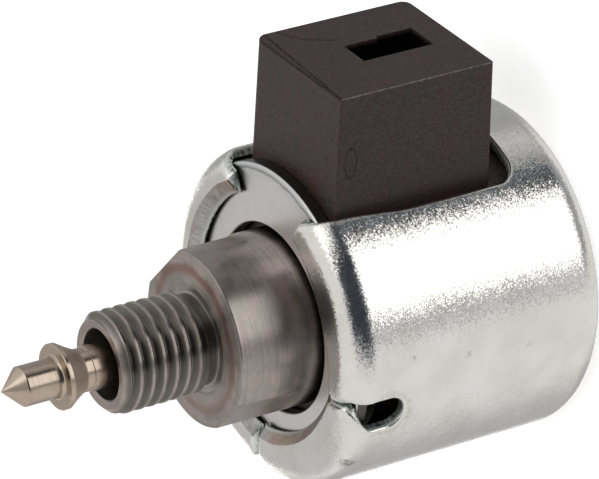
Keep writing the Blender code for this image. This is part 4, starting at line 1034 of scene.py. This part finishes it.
def turned_stainless():
    """Stainless steel, turned: a warm beige mirror with faint rings, duller behind the collar."""
    look, tree, shader, place = new_look("turned_stainless")
    rings = turning_marks(tree, place)
    clouds = add(tree, "TexNoise", {"Vector": place, "Scale": scale_for(1.2), "Detail": 3.0})
    base = laid_over(tree, colour("#A8998A"), colour("#C4B6A8"), clouds)
    rough = add(tree, "MapRange", {"Value": rings, "From Min": 0.3, "From Max": 0.7, "To Min": 0.19,
                                   "To Max": 0.28})
    height = add(tree, "SeparateXYZ", {"Vector": place}).outputs["Z"]
    reach = COLLAR_FLARE / 2.0 * MM
    off = distance_from(tree, height, (COLLAR_FRONT - COLLAR_LAND) * MM - reach)
    dull = add(tree, "MapRange", {"Value": off, "From Min": reach, "From Max": reach + 0.1 * MM,
                                  "To Min": 0.35, "To Max": 0.0})
    rough = add(tree, "Math", {0: rough, 1: dull}, operation="ADD")
    spread_across_rings(tree, shader, place, 0.4)
    give_finish(tree, shader, base, rough, 1.0, rings, 0.003)
    return look


def moulded_phenolic():
    """Phenolic moulding: dark brown-grey, matt, with a fine speckle from its filler."""
    look, tree, shader, place = new_look("moulded_phenolic")
    filler = add(tree, "TexNoise", {"Vector": place, "Scale": scale_for(0.3), "Detail": 2.0,
                                    "Roughness": 0.7})
    clouds = add(tree, "TexNoise", {"Vector": place, "Scale": scale_for(2.5), "Detail": 3.0,
                                    "Roughness": 0.6})
    base = laid_over(tree, colour("#342321"), colour("#2C2723"), clouds, 0.4, 0.6)
    speck = add(tree, "MapRange", {"Value": filler, "From Min": 0.35, "From Max": 0.65, "To Min": 0.6,
                                   "To Max": 1.45})
    base = add(tree, "VectorMath", {0: base, "Scale": speck}, operation="SCALE")

    # Thin dark lines along both edges of the facet, where the mould's parts met.
    parts = add(tree, "SeparateXYZ", {"Vector": place})
    broken = add(tree, "MapRange", {"Value": filler, "From Min": 0.40, "From Max": 0.58, "To Min": 0.25})
    marks_and_socket_shade = None
    for slant_x, slant_z, x, z in ((0.0, FACET_SLANT, BLOCK_TOP, FACET_LINE),
                                   (FACET_FALL * FACET_SLANT, 0.0, BLOCK_TOP - FACET_FALL * 0.49,
                                    BLOCK_FRONT - BLOCK_DRAFT)):
        along_x = add(tree, "Math", {0: parts.outputs["Y"], 1: slant_x, 2: parts.outputs["X"]},
                      operation="MULTIPLY_ADD")
        along_z = add(tree, "Math", {0: parts.outputs["Y"], 1: slant_z, 2: parts.outputs["Z"]},
                      operation="MULTIPLY_ADD")
        across = add(tree, "CombineXYZ", {"X": along_x, "Z": along_z})
        away = add(tree, "VectorMath", {0: across, 1: (x * MM, 0.0, z * MM)}, operation="DISTANCE")
        line = add(tree, "MapRange", {"Value": away.outputs["Value"], "From Min": 0.05 * MM,
                                      "From Max": 0.18 * MM, "To Min": 0.9, "To Max": 0.0})
        marks_and_socket_shade = line if marks_and_socket_shade is None else add(tree, "Math", {0: marks_and_socket_shade, 1: line}, operation="MAXIMUM")

    # Marks left by the mould: an oval on the near face and a shallow arc on the top.
    flat_oval = add(tree, "VectorMath", {0: place, 1: (1.0, 1.0, OVAL_FLATNESS)}, operation="MULTIPLY")
    ahead = add(tree, "MapRange", {"Value": parts.outputs["Z"], "From Min": MARKS_START * MM,
                                   "From Max": (MARKS_START + 1.0) * MM})
    on_top = add(tree, "MapRange", {"Value": parts.outputs["X"], "From Min": (BLOCK_TOP - 0.3) * MM,
                                    "From Max": (BLOCK_TOP - 0.2) * MM})
    arc_only = add(tree, "Math", {0: ahead, 1: on_top}, operation="MULTIPLY")
    for point, centre, size, there in ((flat_oval, OVAL_CENTRE, OVAL_RADIUS, ahead),
                                       (place, ARC_CENTRE, ARC_RADIUS, arc_only)):
        away = add(tree, "VectorMath", {0: point, 1: Vector(centre) * MM}, operation="DISTANCE")
        away = add(tree, "Math", {0: clouds, 1: 0.8 * MM, 2: away.outputs["Value"]}, operation="MULTIPLY_ADD")
        off = distance_from(tree, away, (size + 0.4) * MM)
        mark = add(tree, "MapRange", {"Value": off, "From Min": 0.02 * MM, "From Max": 0.25 * MM,
                                      "To Min": 0.7, "To Max": 0.0})
        mark = add(tree, "Math", {0: mark, 1: there}, operation="MULTIPLY")
        marks_and_socket_shade = add(tree, "Math", {0: marks_and_socket_shade, 1: mark}, operation="MAXIMUM")
    marks_and_socket_shade = add(tree, "Math", {0: marks_and_socket_shade, 1: broken}, operation="MULTIPLY")

    # Painted shade: the socket's walls are painted near black below its mouth.
    socket_shade = add(tree, "MapRange", {"Value": parts.outputs["X"], "From Min": (BLOCK_TOP - 0.5) * MM,
                                  "From Max": (BLOCK_TOP - 0.05) * MM, "To Min": 1.0, "To Max": 0.0})
    for axis, low, high in (("Y", SOCKET_NEAR, SOCKET_FAR + SOCKET_STEP), ("Z", SOCKET_REAR, SOCKET_FRONT)):
        off = distance_from(tree, parts.outputs[axis], (low + high) / 2.0 * MM)
        half = (high - low) / 2.0
        inside = add(tree, "MapRange", {"Value": off, "From Min": (half + 0.1) * MM,
                                        "From Max": (half + 0.2) * MM, "To Min": 1.0, "To Max": 0.0})
        socket_shade = add(tree, "Math", {0: socket_shade, 1: inside}, operation="MULTIPLY")
    # The mould's marks and the painted shade in the socket are joined here.
    marks_and_socket_shade = add(tree, "Math", {0: marks_and_socket_shade, 1: socket_shade}, operation="MAXIMUM")
    base = painted(tree, base, colour("#060505"), marks_and_socket_shade)

    # A thin, broken pale line along the near top edge: mould flash, and a painted highlight where the edge
    # catches the light.
    upright = add(tree, "CombineXYZ", {"X": parts.outputs["X"], "Y": parts.outputs["Y"]})
    edge = (BLOCK_TOP * MM, -BLOCK_HALF_WIDTH * MM, 0.0)
    away = add(tree, "VectorMath", {0: upright, 1: edge}, operation="DISTANCE").outputs["Value"]
    flash_and_glint = add(tree, "MapRange", {"Value": away, "From Min": 0.04 * MM, "From Max": 0.11 * MM,
                                   "To Min": 0.7, "To Max": 0.0})
    base = painted(tree, base, colour("#857A76"), flash_and_glint, broken)
    shine = add(tree, "MapRange", {"Value": marks_and_socket_shade, "To Min": 0.36, "To Max": 0.02})
    give_finish(tree, shader, base, 0.5, 0.0, filler, 0.02, **{"Specular IOR Level": shine})
    return look


def turned_soft_iron():
    """Soft iron turned for the magnet: mid grey, satin, with tool rings and a thin oil film."""
    look, tree, shader, place = new_look("turned_soft_iron")
    rings = turning_marks(tree, place)
    clouds = add(tree, "TexNoise", {"Vector": place, "Scale": scale_for(3.0), "Detail": 3.0})
    base = laid_over(tree, colour("#8E8E90"), colour("#B2B2B3"), clouds)
    give_finish(tree, shader, base, 0.32, 1.0, rings, 0.004)
    return look


def drawn_spring_steel():
    """Spring steel, drawn or rolled: dark, smooth and slightly straw-coloured from tempering."""
    return patchy_finish("drawn_spring_steel", 2.0, 2.0, ("#7E7F84", "#A39C8C"), (0.18, 0.34), 1.0)


def drawn_brass():
    """Brass sheet drawn to a tube: warm yellow with faint draw lines along the axis."""
    look, tree, shader, place = new_look("drawn_brass")
    lines = streaks_on(tree, place, (1.0, 1.0, 0.04), {"Scale": scale_for(0.3), "Detail": 2.0})
    base = laid_over(tree, colour("#B08D4E"), colour("#D9BE83"), lines)
    give_finish(tree, shader, base, 0.25, 1.0, lines, 0.003)
    return look


def seal_rubber():
    """Nitrile seal rubber, moulded: near black and dull, with a little grey bloom."""
    return patchy_finish("moulded_nitrile_rubber", 0.8, 4.0, ("#161616", "#2B2A29"), (0.5, 0.75), 0.0,
                         span=(0.4, 0.7))


def moulded_nylon():
    """Black nylon, injection moulded: slightly glossy, with a soft uneven skin."""
    return patchy_finish("moulded_nylon", 0.9, 3.0, ("#1C1B1A", "#2A2927"), (0.32, 0.48), 0.0, relief=0.01)


def enamelled_copper():
    """Copper wire under clear enamel, wound in layers: red-brown with a ridge for each turn, and painted
    shade between the turns.
    """
    look, tree, shader, place = new_look("enamelled_copper_wire")
    height = add(tree, "SeparateXYZ", {"Vector": place}).outputs["Z"]
    # The turns are drawn 0.4 mm apart, since real ones would be too fine to show.
    turns = add(tree, "Math", {0: height, 1: math.tau * scale_for(0.4)}, operation="MULTIPLY")
    ridge = add(tree, "Math", {0: turns}, operation="SINE")
    # Painted shade and highlight: each turn is painted darker in its groove and lighter on its crest.
    base = laid_over(tree, colour("#6E3219"), colour("#B4653A"), ridge, -1.0, 1.0)
    enamel = {"Coat Weight": 0.6, "Coat Roughness": 0.1}
    give_finish(tree, shader, base, 0.3, 1.0, ridge, 0.03, **enamel)
    return look


def winding_tape():
    """Polyester winding tape, wrapped: amber brown and glossy, with its laps' edges showing."""
    look, tree, shader, place = new_look("polyester_winding_tape")
    way, _, height = round_the_axis(tree, place)
    slope = add(tree, "Math", {0: way, 1: 0.04, 2: height}, operation="MULTIPLY_ADD")
    laps = add(tree, "Math", {0: slope, 1: scale_for(5.5)}, operation="MULTIPLY")
    lap = add(tree, "Math", {0: laps}, operation="FRACT")
    edge = add(tree, "Math", {0: lap, 1: 0.06}, operation="MINIMUM")
    wrinkles = add(tree, "TexNoise", {"Vector": place, "Scale": scale_for(1.2), "Detail": 2.0})
    base = laid_over(tree, colour("#6E5230"), colour("#8E6E45"), wrinkles)
    raised = add(tree, "Math", {0: wrinkles, 1: 0.1, 2: edge}, operation="MULTIPLY_ADD")
    give_finish(tree, shader, base, 0.3, 0.0, raised, 0.2)
    return look


def tinned_brass():
    """Brass sheet, blanked and tinned: soft silver-grey with a warm tint where the tin is thin."""
    return patchy_finish("tinned_brass_sheet", 0.7, 3.0, ("#B9AC8E", "#C9C8C2"), (0.28, 0.45), 1.0,
                         span=(0.35, 0.65))


def make_return_spring():
    """Wire wound with a closed coil at each end. In the real part the spring gets shorter as the plunger goes
    in.
    """
    length = SPRING_HIGH.z - SPRING_LOW.z
    open_turns = SPRING_TURNS - 2.0
    open_pitch = (length - 2.0 * (SPRING_WIRE_RADIUS + SPRING_END_PITCH)) / open_turns
    bm = bmesh.new()
    middle = Vector((SPRING_COIL_RADIUS, 0.0, SPRING_LOW.z + SPRING_WIRE_RADIUS))
    across = Matrix.Translation(middle) @ Matrix.Rotation(math.pi / 2.0, 4, "X")
    bmesh.ops.create_circle(bm, cap_ends=True, radius=SPRING_WIRE_RADIUS, segments=WIRE_STEPS, matrix=across)
    wire_end = bm.faces[:]
    for turns, pitch in ((1.0, SPRING_END_PITCH), (open_turns, open_pitch), (1.0, SPRING_END_PITCH)):
        steps = round(turns * SPRING_STEPS)
        wound = bmesh.ops.spin(bm, geom=wire_end, axis=(0.0, 0.0, 1.0), cent=(0.0, 0.0, 0.0),
                               dvec=(0.0, 0.0, pitch * turns / steps), angle=math.tau * turns, steps=steps,
                               use_merge=False)
        wire_end = [item for item in wound["geom_last"] if isinstance(item, bmesh.types.BMFace)]
    between_coils = [face for face in bm.faces if all(len(edge.link_faces) > 2 for edge in face.edges)]
    bmesh.ops.delete(bm, geom=between_coils, context="FACES_ONLY")
    bmesh.ops.recalc_face_normals(bm, faces=bm.faces)
    spring = finished("spring", bm, "housing", "return_spring", [drawn_spring_steel()])
    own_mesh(spring)


# The CAD nodes that stay as they are, by their finish.
CARRIED_OVER = {
    turned_soft_iron: ("armature", "fixed_core"),
    drawn_spring_steel: ("wave_washer",),
    drawn_brass: ("guide_sleeve", "core_bumper"),
    seal_rubber: ("core_o_ring", "nose_o_ring"),
    moulded_nylon: ("bobbin",),
    enamelled_copper: ("coil_winding", "lead_live", "lead_ground"),
    winding_tape: ("coil_tape",),
    tinned_brass: ("terminal_receptacle", "ground_tab"),
}


def dress_carried_over_nodes():
    """Give each CAD node that stays its own finish."""
    for finish, names in CARRIED_OVER.items():
        look = finish()
        for name in names:
            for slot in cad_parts[name].material_slots:
                slot.material = look


# The studio that metal mirrors. Each card has its middle and half width round the part, the
# softness of its sides, then the same up and down, all in degrees, and its brightness.
STUDIO_LEVEL = 0.88
STUDIO_CARDS = (
    (232.0, 35.0, 50.0, -28.0, 18.0, 14.0, 0.52),
    (288.0, 36.0, 30.0, -20.0, 25.0, 14.0, 0.48),
    (357.0, 8.0, 8.0, -25.0, 25.0, 12.0, 0.50),
    (13.5, 8.5, 5.0, -25.0, 30.0, 15.0, 0.10),
    (49.0, 24.0, 5.0, -33.0, 13.0, 5.0, 1.90),
    (83.0, 4.0, 5.0, -29.0, 25.0, 10.0, 0.52),
    (5.0, 22.0, 12.0, 48.0, 14.0, 8.0, 1.70),
    (222.0, 25.0, 20.0, 26.0, 10.0, 12.0, 0.60),
    (58.0, 26.0, 26.0, 22.0, 28.0, 20.0, 0.07),
    (30.0, 45.0, 25.0, -62.0, 12.0, 8.0, 0.42),
    (236.0, 10.0, 8.0, -18.0, 18.0, 10.0, 1.60),
)
SOFT_LEVEL = 0.62
FLOOR_HALF_WIDTH = 1.5
FLOOR_GLOW = 0.55
LAMP_WIDTH = 0.5
LAMP_POWER = 1.2
LAMP_PLACE = Vector((0.33, -0.12, 0.36))
LAMP_AIM = Vector((0.005, 0.0, 0.02))


def make_studio():
    """White to the camera, soft and even for matt surfaces, and cards for metal to mirror."""
    world = bpy.data.worlds.new("studio")
    world.use_nodes = True
    bpy.context.scene.world = world
    world.cycles.sampling_method = "NONE"
    tree = world.node_tree
    tree.nodes.clear()
    way = add(tree, "SeparateXYZ", {"Vector": add(tree, "TexCoord").outputs["Generated"]})
    away = add(tree, "Math", {0: way.outputs["Y"], 1: -1.0}, operation="MULTIPLY")
    round_angle = add(tree, "Math", {0: away, 1: way.outputs["X"]}, operation="ARCTAN2")
    up_angle = add(tree, "Math", {0: way.outputs["Z"]}, operation="ARCSINE")
    level = None
    for card in STUDIO_CARDS:
        *angles, brightness = card
        middle, half, soft, up_middle, up_half, up_soft = [math.radians(angle) for angle in angles]
        offset = add(tree, "Math", {0: round_angle, 1: middle}, operation="SUBTRACT")
        turned_offset = add(tree, "Math", {0: offset, 1: math.pi, 2: -math.pi}, operation="WRAP")
        rise = add(tree, "Math", {0: up_angle, 1: up_middle}, operation="SUBTRACT")
        sides = []
        for distance, size, softness in ((turned_offset, half, soft), (rise, up_half, up_soft)):
            apart = add(tree, "Math", {0: distance}, operation="ABSOLUTE")
            side = add(tree, "MapRange", {"Value": apart, "From Min": size, "From Max": size + softness,
                                          "To Min": 1.0, "To Max": 0.0}, interpolation_type="SMOOTHSTEP")
            sides.append(side)
        share = add(tree, "Math", {0: sides[0], 1: sides[1]}, operation="MULTIPLY")
        before = STUDIO_LEVEL if level is None else level
        level = add(tree, "Mix", {"Factor": share, "A": before, "B": brightness})
    rays = add(tree, "LightPath")
    matt = add(tree, "Background", {"Color": colour("#FFFFFF"), "Strength": SOFT_LEVEL})
    bright = add(tree, "MapRange", {"Value": level, "From Max": 0.6})
    tint = add(tree, "Mix", {"Factor": bright, "A": colour("#BBCBE2"), "B": colour("#FFFDFA")},
               data_type="RGBA")
    mirrored = add(tree, "Background", {"Color": tint, "Strength": level})
    white = add(tree, "Background", {"Color": colour("#FFFFFF"), "Strength": 1.0})
    lit = add(tree, "MixShader", {0: rays.outputs["Is Glossy Ray"], 1: matt, 2: mirrored})
    seen = add(tree, "MixShader", {0: rays.outputs["Is Camera Ray"], 1: lit, 2: white})
    clear = add(tree, "MixShader", {0: rays.outputs["Is Transmission Ray"], 1: seen, 2: white})
    add(tree, "OutputWorld", {"Surface": clear})


def make_floor():
    """A plain pale floor that keeps the part's shadow and reads as white in the picture."""
    bm = bmesh.new()
    bmesh.ops.create_grid(bm, x_segments=1, y_segments=1, size=FLOOR_HALF_WIDTH)
    mesh = bpy.data.meshes.new("floor")
    bm.to_mesh(mesh)
    bm.free()
    floor = bpy.data.objects.new("floor", mesh)
    bpy.context.scene.collection.objects.link(floor)
    floor.visible_glossy = False
    look = bpy.data.materials.new("pale_floor")
    look.use_nodes = True
    tree = look.node_tree
    shader = tree.nodes["Principled BSDF"]
    connect(tree, shader, {"Base Color": colour("#E6E6E6"), "Roughness": 0.9, "Specular IOR Level": 0.0})
    glow = add(tree, "Emission", {"Color": colour("#FFFFFF"), "Strength": FLOOR_GLOW})
    both = add(tree, "AddShader", {0: shader, 1: glow})
    seen = add(tree, "MixShader", {0: add(tree, "LightPath").outputs["Is Camera Ray"], 1: shader, 2: both})
    connect(tree, tree.nodes["Material Output"], {"Surface": seen})
    mesh.materials.append(look)


def make_lamp():
    """One large soft lamp, up and to the front of the part as it lies in the picture."""
    lamp = bpy.data.lights.new("softbox", "AREA")
    lamp.shape = "SQUARE"
    lamp.size = LAMP_WIDTH
    lamp.energy = LAMP_POWER
    held = bpy.data.objects.new("softbox", lamp)
    bpy.context.scene.collection.objects.link(held)
    held.location = LAMP_PLACE
    held.rotation_euler = (LAMP_AIM - LAMP_PLACE).to_track_quat("-Z", "Y").to_euler()
    held.visible_glossy = False


# The camera: where it stands in millimetres, and its right, up and backward directions.
CAMERA_PLACE = Vector((216.809, -322.733, 234.937))
CAMERA_RIGHT = Vector((0.03663207, -0.52945023, -0.84754973))
CAMERA_UP = Vector((0.87809189, 0.42195228, -0.22563444))
CAMERA_LENS = 284.7


def make_camera():
    """A long lens, rolled so that the part's axis lies almost level in the picture."""
    camera = bpy.data.cameras.new("camera")
    camera.lens = CAMERA_LENS
    camera.sensor_width = 36.0
    camera.clip_end = 10.0
    held = bpy.data.objects.new("camera", camera)
    bpy.context.scene.collection.objects.link(held)
    back = CAMERA_RIGHT.cross(CAMERA_UP)
    turn = Matrix((CAMERA_RIGHT, CAMERA_UP, back)).transposed()
    held.matrix_world = Matrix.Translation(CAMERA_PLACE * MM) @ turn.to_4x4()
    bpy.context.scene.camera = held


make_can()
make_plate()
make_nose()
make_needle()
make_block()
make_return_spring()
dress_carried_over_nodes()
make_camera()
make_studio()
make_floor()
make_lamp()
bpy.context.scene.view_settings.view_transform = "Standard"
